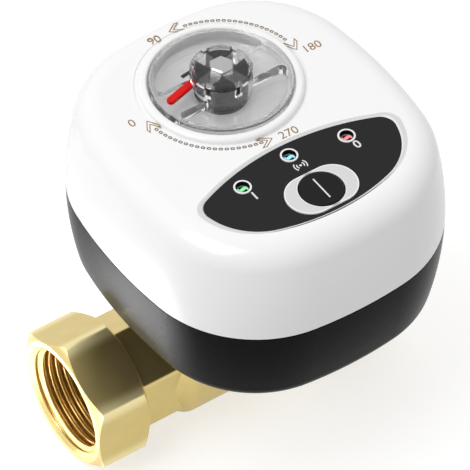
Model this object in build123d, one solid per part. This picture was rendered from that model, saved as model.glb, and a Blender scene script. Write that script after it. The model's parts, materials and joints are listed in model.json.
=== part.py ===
"""Motorised ball valve with a push button, three lamps and a manual knob, as separate pieces.

Everything is drawn about the valve's stem: the stem is the Z axis and the pipe lies along X.
export_node then moves each piece so that the origin is the mouth of the inlet thread.
"""
from build123d import *
import os
from math import acos, atan2, cos, degrees, hypot, pi, radians, sin, sqrt, tan

# Clearances and allowances
overrun = 1.0
running_gap = 0.06
loose_gap = 0.2
seat_gap = 0.06
screw_gap = 0.05
slide_gap = 0.15

# Pipe ends: G3/4 parallel thread, 31 mm across flats
body_length = 87.3
thread_radius = 13.22
thread_length = 11.5
mouth_chamfer = 0.8
thread_runout = 2.0
waterway_radius = 8.5
hex_wall = 2.28
hex_length = 14.0
hex_edge_radius = 1.2
hex_face_inset = 0.2
hex_chamfer_angle = 30.0
neck_wall = 3.75

# Ball chamber: each piece round the next, outwards from the waterway
ball_wall = 4.0
cavity_gap = 0.4
seal_width = 0.9
chamber_wall = 1.5
chamber_start = 17.2
shoulder_slope_length = 3.0
shoulder_hollow_radius = 2.4
shoulder_round_radius = 3.4
collar_rise = 1.7
collar_length = 8.0
collar_chamfer = 0.8
cap_seam = 13.2
cap_flange_length = 4.2
spigot_length = 6.6
seal_thickness = 1.0
seat_wall = 3.1
seat_length = 6.0
seat_setback = 0.5

# Stem and its seals
stem_radius = 4.0
stem_flange_radius = 5.2
stem_flange_thickness = 1.4
washer_thickness = 0.6
tang_thickness = 4.0
tang_width = 8.0
tang_depth = 2.7
ball_slot_depth = 3.0
bonnet_radius = 8.5
bonnet_blend_radius = 2.0
ring_groove_depth = 1.25
ring_groove_width = 1.8
ring_squeeze = 0.03
ring_rise = 3.6
ring_spacing = 3.4
drive_square = 5.6
drive_length = 7.0

# Flange between valve and actuator
flange_radius = 15.0
flange_thickness = 3.4
flange_low = 24.0
mount_screw_circle_radius = 11.6
mount_screw_count = 4
screw_radius = 1.5
screw_head_radius = 2.6
screw_head_height = 2.4

# Actuator housing: a rounded square round the gearbox, the dial and the panel
side_margin = 10.4
front_margin = 9.45
rear_margin = 9.4
housing_corner_radius = 28.0
side_bow = 0.9
end_bow = 0.5
foot_height = 4.8
shell_height = 23.0
cover_wall_bow = 78.0
shell_wall_bow = 92.0
cover_rounding = 6.5
shell_rounding = 5.0
housing_wall = 2.2
housing_floor = 2.4
cover_roof = 2.6
seam_gap = 0.35
gasket_inset = 0.7
gasket_width = 0.9
gasket_depth = 0.8
boss_radius = 4.2
post_radius = 3.4
case_screw_radius = 1.4
case_screw_head_radius = 2.6
case_screw_head_height = 2.2
case_screw_recess = 10.0
case_screw_bite = 8.0
boss_gap = 0.5
end_boss_half_width = 15.0
shaft_seal_radius = 7.4
shaft_seal_height = 3.0
cable_hole_radius = 4.2
grommet_flange_radius = 6.2
grommet_flange_thickness = 1.6
grommet_seat_depth = 1.2
grommet_bore_radius = 2.6

# Gearbox
plate_thickness = 1.6
plate_side_margin = 4.94
plate_front_margin = 5.5
plate_edge = 1.7
plate_corner_radius = 4.0
plate_rise = 2.0
plate_spacing = 14.0
spacer_radius = 2.5
support_radius = 3.2
spacer_side_inset = 3.1
spacer_front_inset = 3.5
spacer_rear_inset = 4.0
gearbox_screw_radius = 1.4
gearbox_screw_head_height = 1.8
axle_radius = 1.5
pressure_angle = radians(20.0)
addendum_share = 0.8
dedendum_share = 1.1
tooth_play = 0.07
pinion_teeth = 15
output_teeth = 48
wheel_teeth = 45
output_turn = 0.0
output_module = 0.7
middle_module = 0.5
fast_module = 0.4
slow_axle_bearing = radians(-68.5)
fast_axle_bearing = radians(178.2)
motor_bearing = radians(-94.0)
thrust_gap = 0.2
output_wheel_rise = 1.0
output_wheel_height = 5.0
pinion_overlap = 0.4
wheel_height = 2.4
fast_wheel_height = 2.2
level_gap = 0.4
hub_radius = 3.0
upper_hub_radius = 2.5
motor_pinion_height = 3.0
motor_shaft_radius = 1.0
motor_radius = 8.0
motor_height = 16.6
motor_flat_half_width = 6.2
motor_socket_depth = 5.0

# Output shaft, from the stem up to the dial
coupling_radius = 5.2
coupling_gap = 0.4
shaft_radius = 4.4
upper_shaft_radius = 3.5
bush_wall = 1.6
bush_flange_wall = 2.6
bush_flange_thickness = 0.6
cam_radius = 9.0
cam_low_radius = 7.6
cam_height = 3.4
cam_lift = 1.4
spring_length = 5.6
spring_seat_radius = 5.6
spring_seat_thickness = 1.2
shaft_hex_flats = 4.8
shaft_round_rise = 1.2
shaft_stand = 0.8
shaft_top_chamfer = 0.35

# Limit switches beside the cam
switch_length = 12.8
switch_depth = 6.5
switch_height = 5.8
switch_forward = 3.0
lever_thickness = 0.4
lever_height = 3.0
lever_stand_off = 0.8
lever_gap = 0.25
plunger_radius = 0.8

# Circuit board and what it carries
board_half_width = 22.5
board_front_inset = 2.15
board_rear_overhang = 1.95
board_thickness = 1.6
board_gap = 0.5
board_depth = 6.2
board_post_radius = 2.2
board_screw_radius = 0.9
board_screw_head_radius = 1.8
board_screw_head_height = 1.0
board_post_side_inset = 2.5
board_post_front_inset = 6.1
board_post_rear_inset = 3.0
radio_width = 12.0
radio_length = 16.0
radio_height = 2.8
radio_strip_thickness = 0.9
radio_shield_inset = 0.9
radio_shield_share = 0.7
radio_side = 10.5
radio_inset = 9.0
terminal_width = 5.0
terminal_length = 8.0
terminal_height = 7.5
terminal_ways = 3
terminal_hole_radius = 0.9
terminal_hole_depth = 3.8
terminal_edge = 0.3
terminal_inset = 9.2
tact_width = 6.0
tact_height = 2.0
lamp_radius = 1.45
lamp_collar_radius = 1.6
lamp_collar_height = 1.0
lamp_sink = 0.5

# Control panel on the top face
panel_dial_gap = 4.05
panel_depth = 22.3
panel_rear_sag = 5.9
panel_rear_half_width = 25.55
panel_front_sag = 5.6
panel_front_half_width = 22.6
panel_rear_corner_radius = 3.7
panel_front_corner_radius = 15.0
panel_thickness = 1.0
panel_sink = 0.35
panel_gap = 0.1
panel_bevel = 0.7
lamp_spread = 13.7
lamp_middle_inset = 3.5
lamp_side_inset = 5.65
lamp_hole_radius = 1.6
bezel_radius = 2.0
bezel_height = 0.25
button_inset = 6.65
button_radius = 5.0
button_gap = 0.2
button_proud = 0.15
button_crown = 0.35
button_travel = 0.5
button_flange_lip = 0.7
button_flange_thickness = 0.9
button_stem_radius = 1.5
surround_half_straight = 3.0
surround_side = 0.5
surround_thickness = 0.6
surround_rounding = 0.25

# Dial: clear knob in a cup sunk into the cover
knob_radius = 16.0
knob_height = 4.5
knob_sink = 2.8
knob_gap = 0.35
knob_travel = 1.5
knob_well_radius = 14.7
knob_well_depth = 2.8
knob_bar_half_width = 3.7
knob_well_corner = 1.2
knob_edge_radius = 0.6
knob_boss_radius = 7.0
knob_boss_height = 3.8
knob_boss_chamfer = 0.5
knob_boss_slot_count = 6
knob_boss_slot_width = 1.6
knob_boss_slot_depth = 1.1
hub_pocket_gap = 0.1
clutch_radius = 6.0
clutch_rise = 2.0
clutch_neck_radius = 5.4
clutch_neck_length = 4.9
claw_slot_count = 2
claw_slot_width = 3.2
claw_slot_depth = 3.6
hex_slide_gap = 0.08
collar_rim_radius = 18.4
collar_height = 1.1
collar_rounding = 0.5
collar_outer_rounding = 1.0
moat_width = 0.9
moat_depth = 0.3
cup_wall = 1.6
cup_floor = 1.6
cup_hole_gap = 0.6
pointer_length = 10.4
pointer_width = 1.9
pointer_height = 0.8
pointer_rounding = 0.25
pointer_inner_side = 4.0
pointer_inner_rear = 2.8
pointer_skew = 15.6
spring_wire_radius = 0.4
spring_coil_radius = 4.1
spring_turns = 4

# Valve heights and stations worked out from the values above
half_length = body_length / 2
stem_x = half_length - mouth_chamfer
neck_start = half_length - hex_length
hex_flats = 2 * (thread_radius + hex_wall)
hex_corner_radius = hex_flats / 2 / cos(pi / 6)
neck_flats = 2 * (waterway_radius + neck_wall)
ball_radius = waterway_radius + ball_wall
cavity_radius = ball_radius + cavity_gap
spigot_radius = cavity_radius + seal_width
chamber_radius = spigot_radius + chamber_wall
collar_radius = chamber_radius + collar_rise
seat_radius = waterway_radius + seat_wall
seat_start = ball_radius - seat_setback
seat_end = seat_start - seat_length
spigot_start = cap_seam - spigot_length
flange_top = flange_low + flange_thickness
tang_low = ball_radius - tang_depth
stem_flange_low = tang_low + tang_depth + loose_gap
stem_flange_top = stem_flange_low + stem_flange_thickness
washer_top = stem_flange_top + washer_thickness
lower_ring_height = washer_top + ring_rise
drive_low = flange_top - screw_gap
drive_top = drive_low + drive_length

# Actuator heights, from the flange up to the shaft's tip
housing_bottom = flange_top + foot_height
housing_seam = housing_bottom + shell_height
floor_top = housing_bottom + housing_floor
cable_height = (housing_bottom + housing_seam) / 2
base_plate_low = floor_top + plate_rise
base_plate_top = base_plate_low + plate_thickness
top_plate_low = base_plate_top + plate_spacing
top_plate_top = top_plate_low + plate_thickness
output_wheel_low = base_plate_top + output_wheel_rise
output_wheel_top = output_wheel_low + output_wheel_height
slow_wheel_low = output_wheel_top + pinion_overlap
slow_wheel_top = slow_wheel_low + wheel_height
fast_wheel_low = slow_wheel_top + level_gap
fast_wheel_top = fast_wheel_low + fast_wheel_height
cam_low = top_plate_top + cam_lift
motor_top = top_plate_top + motor_height
board_low = motor_top + board_gap
board_top = board_low + board_thickness
housing_top = board_top + board_depth
roof_low = housing_top - cover_roof
panel_top = housing_top - panel_sink
panel_low = panel_top - panel_thickness
button_low = roof_low - button_flange_thickness - running_gap
knob_low = housing_top - knob_sink
knob_rim = knob_low + knob_height
knob_floor = knob_rim - knob_well_depth
knob_boss_top = knob_rim + knob_boss_height
cup_top = knob_low - knob_travel - slide_gap
cup_low = cup_top - cup_floor
cup_hole_radius = clutch_neck_radius + cup_hole_gap
clutch_top = knob_rim + clutch_rise
clutch_low = knob_low - clutch_neck_length
spring_seat = clutch_low - spring_length
shaft_hex_low = spring_seat + shaft_round_rise
shaft_top = knob_boss_top + shaft_stand

# Places seen from above, from the stem outwards; front is towards -Y
output_tip_radius = output_module * (output_teeth / 2 + addendum_share)
plate_half_width = output_tip_radius + plate_side_margin
plate_rear = mount_screw_circle_radius * cos(pi / mount_screw_count) + screw_radius + plate_edge
side_boss_reach = plate_half_width + boss_radius + boss_gap
panel_rear = collar_rim_radius + panel_dial_gap
panel_front = panel_rear + panel_depth
front_reach = panel_front + front_margin
rear_reach = collar_rim_radius + rear_margin
housing_half_width = side_boss_reach + side_margin
housing_half_depth = (front_reach + rear_reach) / 2
housing_offset = (front_reach - rear_reach) / 2
lamp_middle_place = (0, -panel_rear - lamp_middle_inset)
lamp_side_place = (lamp_spread, -panel_rear - lamp_side_inset)
button_place = (0, button_inset - panel_front)
surround_radius = button_radius + button_gap + surround_side
board_front = panel_front - board_front_inset
board_rear = panel_rear - board_rear_overhang
radio_place = (radio_side, -board_rear - radio_inset)
terminal_place = (terminal_edge + terminal_width / 2 - board_half_width, -board_rear - terminal_inset)
pointer_inner_place = (-pointer_inner_side, pointer_inner_rear)

UPRIGHT = (Align.CENTER, Align.CENTER, Align.MIN)


# Small shapes shared by many pieces

def column(radius, low, high, place=(0, 0)):
    """Round bar along Z between two heights."""
    return Pos(place[0], place[1], low) * Cylinder(radius, high - low, align=UPRIGHT)


def tube(outer_radius, inner_radius, low, high, place=(0, 0)):
    return column(outer_radius, low, high, place) - column(inner_radius, low, high, place)


def drum(radius, start, end):
    """Round bar along X between two stations."""
    return Pos(start, 0, 0) * Rot(0, 90, 0) * Cylinder(radius, end - start, align=UPRIGHT)


def slab(width, depth, low, high, place=(0, 0)):
    """Rectangular block between two heights."""
    return Pos(place[0], place[1], low) * Box(width, depth, high - low, align=UPRIGHT)


def turned(points):
    """Solid of revolution about the pipe, from (station, radius) points."""
    return revolve(make_face(Polyline(*points, close=True)), Axis.X)


def turned_upright(points):
    """Solid of revolution about the stem, from (radius, height) points."""
    outline = Plane.XZ * make_face(Polyline(*points, close=True))
    return revolve(outline, Axis.Z)


def softened(face, corners):
    """Rounds the named corners of a flat outline."""
    for corner, radius in corners:
        nearest = face.vertices().sort_by_distance(corner)[0]
        face = fillet(nearest, radius)
    return face


def polar(radius, bearing, centre=(0, 0)):
    return (centre[0] + radius * cos(bearing), centre[1] + radius * sin(bearing))


def mirrored_places(place):
    """A place and its twin across the stem's YZ plane, left one first."""
    return [(-place[0], place[1]), place]


def export_node(name, shape):
    moved = Pos(stem_x, 0, 0) * shape
    moved.label = name
    export_step(moved, f"parts/{name}.step")


# Water valve

def hexagon_bar(flats, start, end):
    """Hexagon bar along the pipe, one corner up, with rounded long edges."""
    outline = RegularPolygon(flats / 2, 6, major_radius=False, rotation=30)
    outline = fillet(outline.vertices(), hex_edge_radius)
    return Pos(start, 0, 0) * extrude(Plane.YZ * outline, end - start)


def wrench_hexagon(start, end):
    """Hexagon whose corners are turned off at both faces, as on a union nut."""
    face_radius = hex_flats / 2 - hex_face_inset
    slope_length = (hex_corner_radius - face_radius) * tan(radians(hex_chamfer_angle))
    envelope = turned([
        (start, 0),
        (start, face_radius),
        (start + slope_length, hex_corner_radius),
        (end - slope_length, hex_corner_radius),
        (end, face_radius),
        (end, 0),
    ])
    return hexagon_bar(hex_flats, start, end) & envelope


def thread_pocket():
    """Cutter for the inlet: countersink, thread wall, run-out cone and waterway."""
    wall_start = -half_length + mouth_chamfer
    wall_end = wall_start + thread_length
    return turned([
        (-half_length - overrun, 0),
        (-half_length - overrun, thread_radius + mouth_chamfer),
        (-half_length, thread_radius + mouth_chamfer),
        (wall_start, thread_radius),
        (wall_end, thread_radius),
        (wall_end + thread_runout, waterway_radius),
        (0, waterway_radius),
        (0, 0),
    ])


def chamber():
    """Ball chamber: a shoulder rising from the neck, then a barrel and the screwed collar."""
    neck_radius = neck_flats / 2
    slope_start = chamber_start + shoulder_slope_length
    collar_start = cap_seam - collar_length
    outline = make_face(Polyline(
        (-neck_start, 0),
        (-neck_start, neck_radius),
        (-slope_start, neck_radius),
        (-chamber_start, chamber_radius),
        (collar_start - collar_chamfer, chamber_radius),
        (collar_start + collar_chamfer, collar_radius),
        (cap_seam - collar_chamfer, collar_radius),
        (cap_seam, collar_radius - collar_chamfer),
        (cap_seam, 0),
        close=True,
    ))
    outline = softened(outline, [
        ((-slope_start, neck_radius), shoulder_hollow_radius),
        ((-chamber_start, chamber_radius), shoulder_round_radius),
    ])
    return revolve(outline, Axis.X)


def mount_screw_places():
    return [
        polar(mount_screw_circle_radius, 2 * pi * (step + 0.5) / mount_screw_count)
        for step in range(mount_screw_count)
    ]


def valve_body():
    body = wrench_hexagon(-half_length, -neck_start)
    body += hexagon_bar(neck_flats, -neck_start, -chamber_start - shoulder_slope_length / 2)
    body += chamber()
    bonnet = column(bonnet_radius, 0, flange_low)
    flare = turned_upright([
        (0, flange_low - bonnet_blend_radius),
        (bonnet_radius, flange_low - bonnet_blend_radius),
        (bonnet_radius + bonnet_blend_radius, flange_low),
        (0, flange_low),
    ])
    body += bonnet
    body += flare
    body += column(flange_radius, flange_low, flange_top)
    body -= thread_pocket()
    body -= turned([
        (-seat_start - seat_gap, 0),
        (-seat_start - seat_gap, seat_radius + seat_gap),
        (-seat_end, seat_radius + seat_gap),
        (-seat_end, cavity_radius),
        (spigot_start - seal_thickness - seat_gap, cavity_radius),
        (spigot_start - seal_thickness - seat_gap, spigot_radius + screw_gap),
        (cap_seam + overrun, spigot_radius + screw_gap),
        (cap_seam + overrun, 0),
    ])
    body -= drum(waterway_radius, -seat_start - overrun, 0)
    body -= column(stem_radius + running_gap, 0, flange_top + overrun)
    body -= column(stem_flange_radius + loose_gap, 0, washer_top)
    for place in mount_screw_places():
        body -= column(screw_radius + loose_gap, flange_low - overrun, flange_top + overrun, place)
        body -= column(screw_head_radius + loose_gap, flange_low - screw_head_height, flange_low, place)
    return body


def end_cap():
    """Screwed tail piece with the outlet thread."""
    cap = mirror(wrench_hexagon(-half_length, -neck_start), Plane.YZ)
    cap += hexagon_bar(neck_flats, cap_seam + cap_flange_length / 2, neck_start)
    flange_end = cap_seam + cap_flange_length
    cap += turned([
        (spigot_start, 0),
        (spigot_start, spigot_radius),
        (cap_seam, spigot_radius),
        (cap_seam, collar_radius - collar_chamfer),
        (cap_seam + collar_chamfer, collar_radius),
        (flange_end - collar_chamfer, collar_radius),
        (flange_end, collar_radius - collar_chamfer),
        (flange_end, 0),
    ])
    cap -= mirror(thread_pocket(), Plane.YZ)
    cap -= drum(waterway_radius, spigot_start - overrun, seat_start + overrun)
    cap -= drum(seat_radius + seat_gap, spigot_start - overrun, seat_start + seat_gap)
    return cap


def ball():
    sphere = Sphere(ball_radius) - drum(waterway_radius, -ball_radius, ball_radius)
    slot_width = tang_thickness + 2 * running_gap
    return sphere - slab(slot_width, 2 * ball_radius, ball_radius - ball_slot_depth, ball_radius)


def inlet_seat():
    ring = drum(seat_radius, -seat_start, -seat_end)
    ring -= drum(waterway_radius + seat_gap, -seat_start, 0)
    return ring - Sphere(ball_radius + seat_gap)


def body_seal():
    ring_start = spigot_start - seal_thickness
    return drum(spigot_radius, ring_start, spigot_start) - drum(cavity_radius, ring_start, spigot_start)


def ring_heights():
    return [lower_ring_height, lower_ring_height + ring_spacing]


def stem():
    spindle = slab(tang_thickness, tang_width, tang_low, stem_flange_low)
    spindle += column(stem_flange_radius, stem_flange_low, stem_flange_top)
    spindle += column(stem_radius, stem_flange_top, drive_low)
    spindle += slab(drive_square, drive_square, drive_low, drive_top)
    for height in ring_heights():
        low = height - ring_groove_width / 2
        groove_floor = stem_radius - ring_groove_depth
        spindle -= tube(stem_radius + overrun, groove_floor, low, low + ring_groove_width)
    return spindle


def stem_rings():
    """Two rubber rings that fill the stem's grooves out to the bonnet's bore."""
    inner = stem_radius - ring_groove_depth
    section = (stem_radius + running_gap - ring_squeeze - inner) / 2
    return [Pos(0, 0, height) * Torus(inner + section, section) for height in ring_heights()]


def thrust_washer():
    inner = stem_radius + running_gap
    return tube(stem_flange_radius, inner, stem_flange_top + running_gap, washer_top)


def screw(shank_radius, head_radius, head_height, head_low, shank_end, place, points_up=True):
    """Cap screw with its head's flat face at one height and its tip at another."""
    if points_up:
        head = column(head_radius, head_low - head_height, head_low, place)
        return head + column(shank_radius, head_low, shank_end, place)
    head = column(head_radius, head_low, head_low + head_height, place)
    return head + column(shank_radius, shank_end, head_low, place)


def mounting_screws():
    return [
        screw(screw_radius, screw_head_radius, screw_head_height, flange_low, base_plate_top, place)
        for place in mount_screw_places()
    ]


# Housing shells

def housing_outline(inset, height):
    """Rounded square of eight tangent arcs, moved inwards by the inset."""
    corner_x = housing_half_width - housing_corner_radius - side_bow
    corner_y = housing_half_depth - housing_corner_radius - end_bow
    side_radius = (corner_y ** 2 + side_bow ** 2 + 2 * housing_corner_radius * side_bow) / (2 * side_bow)
    end_radius = (corner_x ** 2 + end_bow ** 2 + 2 * housing_corner_radius * end_bow) / (2 * end_bow)
    side_centre = housing_half_width - side_radius
    end_centre = housing_half_depth - end_radius
    low_turn = degrees(atan2(corner_y, corner_x - side_centre))
    high_turn = degrees(atan2(corner_y - end_centre, corner_x))
    corner_turn = high_turn - low_turn
    corner = housing_corner_radius - inset
    side = side_radius - inset
    end = end_radius - inset
    arcs = [
        CenterArc((side_centre, 0), side, -low_turn, 2 * low_turn),
        CenterArc((corner_x, corner_y), corner, low_turn, corner_turn),
        CenterArc((0, end_centre), end, high_turn, 180 - 2 * high_turn),
        CenterArc((-corner_x, corner_y), corner, 180 - high_turn, corner_turn),
        CenterArc((-side_centre, 0), side, 180 - low_turn, 2 * low_turn),
        CenterArc((-corner_x, -corner_y), corner, 180 + low_turn, corner_turn),
        CenterArc((0, -end_centre), end, 180 + high_turn, 180 - 2 * high_turn),
        CenterArc((corner_x, -corner_y), corner, -high_turn, corner_turn),
    ]
    return Pos(0, -housing_offset, height) * make_face(arcs)


def moulded_form(start, end, wall_bow, rounding, inset):
    """Bowed wall from the seam to a flat end with a rounded rim."""
    half_rise = (end - start) / 2
    sections = [
        housing_outline(inset + (step * half_rise) ** 2 / (2 * wall_bow), start + step * half_rise)
        for step in range(3)
    ]
    form = loft(sections)
    flat_end = form.faces().sort_by(Axis.Z)[-1 if end > start else 0]
    return fillet(flat_end.edges(), rounding)


def rear_boss_reach():
    """Rear bosses stand clear of the output gear's teeth and of the plates' rear edge."""
    gear_clear = output_tip_radius + boss_radius + boss_gap
    beside_gear = sqrt(gear_clear ** 2 - end_boss_half_width ** 2)
    return max(beside_gear, plate_rear + boss_radius + boss_gap)


def housing_screw_places():
    front = -plate_front() - boss_radius - boss_gap
    rear = rear_boss_reach()
    rows = [(end_boss_half_width, front), (side_boss_reach, -housing_offset), (end_boss_half_width, rear)]
    return [place for row in rows for place in mirrored_places(row)]


def gasket_band(low, high, spare=0.0):
    outer = extrude(housing_outline(gasket_inset - spare, low), high - low)
    inner = extrude(housing_outline(gasket_inset + gasket_width + spare, low), high - low)
    return outer - inner


def cable_axis(start, end, radius):
    """Round bar along Y through the rear wall, at the cable hole."""
    return Pos(0, start, cable_height) * Rot(-90, 0, 0) * Cylinder(radius, end - start, align=UPRIGHT)


def rear_wall_station():
    """Outer face of the rear wall at the height of the cable hole."""
    drop = housing_seam - cable_height
    return housing_half_depth - housing_offset - drop ** 2 / (2 * shell_wall_bow)


def grommet_seat_station():
    """Flat seat of the grommet's outer flange, sunk below the curved wall."""
    return rear_wall_station() - grommet_seat_depth


def seat_grommet(shell):
    """Thickens the rear wall to a flat pad and cuts the cable hole through it."""
    seat = grommet_seat_station()
    pad_radius = grommet_flange_radius + housing_wall / 2
    shell += cable_axis(seat - housing_wall, seat, pad_radius)
    shell -= cable_axis(seat, seat + 2 * housing_wall, grommet_flange_radius + loose_gap)
    return shell - cable_axis(seat - 2 * housing_wall, seat + overrun, cable_hole_radius)


def lower_housing():
    outer = moulded_form(housing_seam, housing_bottom, shell_wall_bow, shell_rounding, 0)
    inner_rounding = shell_rounding - housing_wall
    shell = outer - moulded_form(housing_seam, floor_top, shell_wall_bow, inner_rounding, housing_wall)
    rim = housing_seam - seam_gap
    boss_top = rim - seam_gap
    bosses = [column(boss_radius, housing_bottom, boss_top, place) for place in housing_screw_places()]
    support_middles = support_places() + mount_screw_places()
    supports = [column(support_radius, housing_bottom, base_plate_low, place) for place in support_middles]
    foot = column(flange_radius, flange_top, floor_top)
    shell += bosses + supports + [foot]
    shell -= extrude(housing_outline(-overrun, rim), overrun)
    shell -= gasket_band(rim - gasket_depth, rim + overrun, running_gap)
    shell -= column(coupling_radius + loose_gap, flange_top - overrun, base_plate_low)
    seal_low = flange_top + housing_floor
    shell -= column(shaft_seal_radius, seal_low, floor_top + overrun)
    for place in mount_screw_places():
        shell -= column(screw_radius + loose_gap, flange_top - overrun, base_plate_low + overrun, place)
    for place in support_places():
        shell -= column(gearbox_screw_radius + screw_gap, floor_top, base_plate_low + overrun, place)
    recess_top = housing_bottom + case_screw_recess
    for place in housing_screw_places():
        shell -= column(case_screw_head_radius + loose_gap, housing_bottom - overrun, recess_top, place)
        shell -= column(case_screw_radius + loose_gap, recess_top, boss_top + overrun, place)
    return seat_grommet(shell)


def housing_gasket():
    return gasket_band(housing_seam - seam_gap - gasket_depth + running_gap, housing_seam)


def panel_outline(inset, height):
    """Black panel's outline: bowed rear and front edges between two slanted ends."""
    rear_corner_y = -panel_rear - panel_rear_sag
    front_corner_y = -panel_front + panel_front_sag
    rear_edge = ThreePointArc(
        (-panel_rear_half_width, rear_corner_y),
        (0, -panel_rear),
        (panel_rear_half_width, rear_corner_y),
    )
    front_edge = ThreePointArc(
        (-panel_front_half_width, front_corner_y),
        (0, -panel_front),
        (panel_front_half_width, front_corner_y),
    )
    right_end = Line(rear_edge @ 1, front_edge @ 1)
    left_end = Line(rear_edge @ 0, front_edge @ 0)
    outline = make_face([rear_edge, right_end, front_edge, left_end])
    outline = softened(outline, [
        ((panel_rear_half_width, rear_corner_y), panel_rear_corner_radius),
        ((-panel_rear_half_width, rear_corner_y), panel_rear_corner_radius),
        ((panel_front_half_width, front_corner_y), panel_front_corner_radius),
        ((-panel_front_half_width, front_corner_y), panel_front_corner_radius),
    ])
    if inset:
        outline = offset(outline, -inset)
    return Pos(0, 0, height) * outline


def lamp_places():
    return [(-lamp_side_place[0], lamp_side_place[1]), lamp_middle_place, lamp_side_place]


def dial_collar():
    """Raised rim round the knob, with its cup below."""
    bore = knob_radius + knob_gap
    top = housing_top + collar_height
    rim = make_face(Polyline(
        (bore, roof_low), (collar_rim_radius, roof_low), (collar_rim_radius, top), (bore, top), close=True
    ))
    rim = softened(rim, [
        ((collar_rim_radius, top), collar_outer_rounding),
        ((bore, top), collar_rounding),
    ])
    return revolve(Plane.XZ * rim, Axis.Z)


def upper_cover():
    outer = moulded_form(housing_seam, housing_top, cover_wall_bow, cover_rounding, 0)
    inner_rounding = cover_rounding - housing_wall
    cover = outer - moulded_form(housing_seam, roof_low, cover_wall_bow, inner_rounding, housing_wall)
    posts = [column(post_radius, housing_seam, housing_top - cover_roof / 2, place)
             for place in housing_screw_places()]
    board_posts = [column(board_post_radius, board_top, housing_top - cover_roof / 2, place)
                   for place in board_post_places()]
    cup_radius = knob_radius + knob_gap + cup_wall
    cover += posts + board_posts + [column(cup_radius, cup_low, housing_top - cover_roof / 2)]
    cover -= tube(collar_rim_radius + moat_width, collar_rim_radius, housing_top - moat_depth,
                  housing_top + overrun)
    cover += dial_collar()
    cover -= column(knob_radius + knob_gap, cup_top, housing_top + collar_height + overrun)
    cover -= column(cup_hole_radius, cup_low - overrun, cup_top + overrun)
    cover -= extrude(panel_outline(0, panel_low), housing_top - panel_low + overrun)
    bevel_low = housing_top - panel_bevel
    cover -= loft([panel_outline(0, bevel_low), panel_outline(-panel_bevel, housing_top)])
    for place in lamp_places():
        cover -= column(lamp_hole_radius, roof_low - overrun, housing_top, place)
    cover -= column(button_radius + button_gap, roof_low - overrun, housing_top, button_place)
    for place in housing_screw_places():
        cover -= column(case_screw_radius + screw_gap, housing_seam - overrun,
                        housing_seam + case_screw_bite + overrun, place)
    for place in board_post_places():
        cover -= column(board_screw_radius + screw_gap, board_top - overrun, roof_low, place)
    return cover


def housing_screws():
    recess_top = housing_bottom + case_screw_recess
    return [
        screw(case_screw_radius, case_screw_head_radius, case_screw_head_height, recess_top,
              housing_seam + case_screw_bite, place)
        for place in housing_screw_places()
    ]


def shaft_seal():
    low = flange_top + housing_floor
    return tube(shaft_seal_radius, coupling_radius + running_gap, low, low + shaft_seal_height)


def cable_grommet():
    outer_face = grommet_seat_station()
    inner_face = outer_face - housing_wall
    grommet = cable_axis(inner_face, outer_face, cable_hole_radius - running_gap)
    grommet += cable_axis(outer_face, outer_face + grommet_flange_thickness, grommet_flange_radius)
    grommet += cable_axis(inner_face - grommet_flange_thickness, inner_face, grommet_flange_radius)
    reach = grommet_flange_thickness + overrun
    return grommet - cable_axis(inner_face - reach, outer_face + reach, grommet_bore_radius)


# Gearbox

def support_places():
    side = plate_half_width - spacer_side_inset
    front_pair = mirrored_places((side, spacer_front_inset - plate_front()))
    return front_pair + mirrored_places((side, plate_rear - spacer_rear_inset))


def pitch_radius(module, teeth):
    return module * teeth / 2


def slow_axle_place():
    reach = pitch_radius(output_module, output_teeth) + pitch_radius(output_module, pinion_teeth)
    return polar(reach, slow_axle_bearing)


def fast_axle_place():
    reach = pitch_radius(middle_module, wheel_teeth) + pitch_radius(middle_module, pinion_teeth)
    return polar(reach, fast_axle_bearing, slow_axle_place())


def motor_place():
    reach = pitch_radius(fast_module, wheel_teeth) + pitch_radius(fast_module, pinion_teeth)
    return polar(reach, motor_bearing, fast_axle_place())


def plate_front():
    """How far the gearbox plates reach in front of the stem."""
    return plate_front_margin - motor_place()[1]


def meshed_turn(teeth, turn, follower_teeth, bearing):
    """Turn of a follower whose gap takes the driver's tooth on the line of centres."""
    phase = (bearing - turn) * teeth / (2 * pi)
    return bearing + pi + (phase + 0.5) * 2 * pi / follower_teeth


def toothed_wheel(module, teeth, low, high, turn, place=(0, 0)):
    """Spur wheel whose flanks follow the involute through the root, pitch and tip circles."""
    pitch = pitch_radius(module, teeth)
    base = pitch * cos(pressure_angle)
    half_tooth = pi / (2 * teeth) - tooth_play / (2 * pitch)

    def half_angle(radius):
        slant = acos(min(1.0, base / radius))
        return half_tooth + tan(pressure_angle) - pressure_angle - tan(slant) + slant

    flank = [pitch - dedendum_share * module, pitch, pitch + addendum_share * module]
    points = []
    for tooth in range(teeth):
        middle = turn + 2 * pi * tooth / teeth
        points += [polar(radius, middle - half_angle(radius)) for radius in flank]
        points += [polar(radius, middle + half_angle(radius)) for radius in reversed(flank)]
    outline = make_face(Polyline(*points, close=True))
    return Pos(place[0], place[1], low) * extrude(outline, high - low)


def slow_pinion_turn():
    return meshed_turn(output_teeth, output_turn, pinion_teeth, slow_axle_bearing)


def fast_pinion_turn():
    return meshed_turn(wheel_teeth, slow_pinion_turn(), pinion_teeth, fast_axle_bearing)


def output_gear():
    wheel = toothed_wheel(output_module, output_teeth, output_wheel_low, output_wheel_top, output_turn)
    return wheel - column(shaft_radius, output_wheel_low, output_wheel_top)


def slow_gear():
    """Wheel and pinion in one piece, between the output gear and the fast gear."""
    place = slow_axle_place()
    low = base_plate_top + thrust_gap
    turn = slow_pinion_turn()
    cluster = toothed_wheel(output_module, pinion_teeth, low, slow_wheel_low, turn, place)
    cluster += toothed_wheel(middle_module, wheel_teeth, slow_wheel_low, slow_wheel_top, turn, place)
    cluster += column(hub_radius, slow_wheel_top, top_plate_low - thrust_gap, place)
    return cluster - column(axle_radius + running_gap, low, top_plate_low, place)


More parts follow.
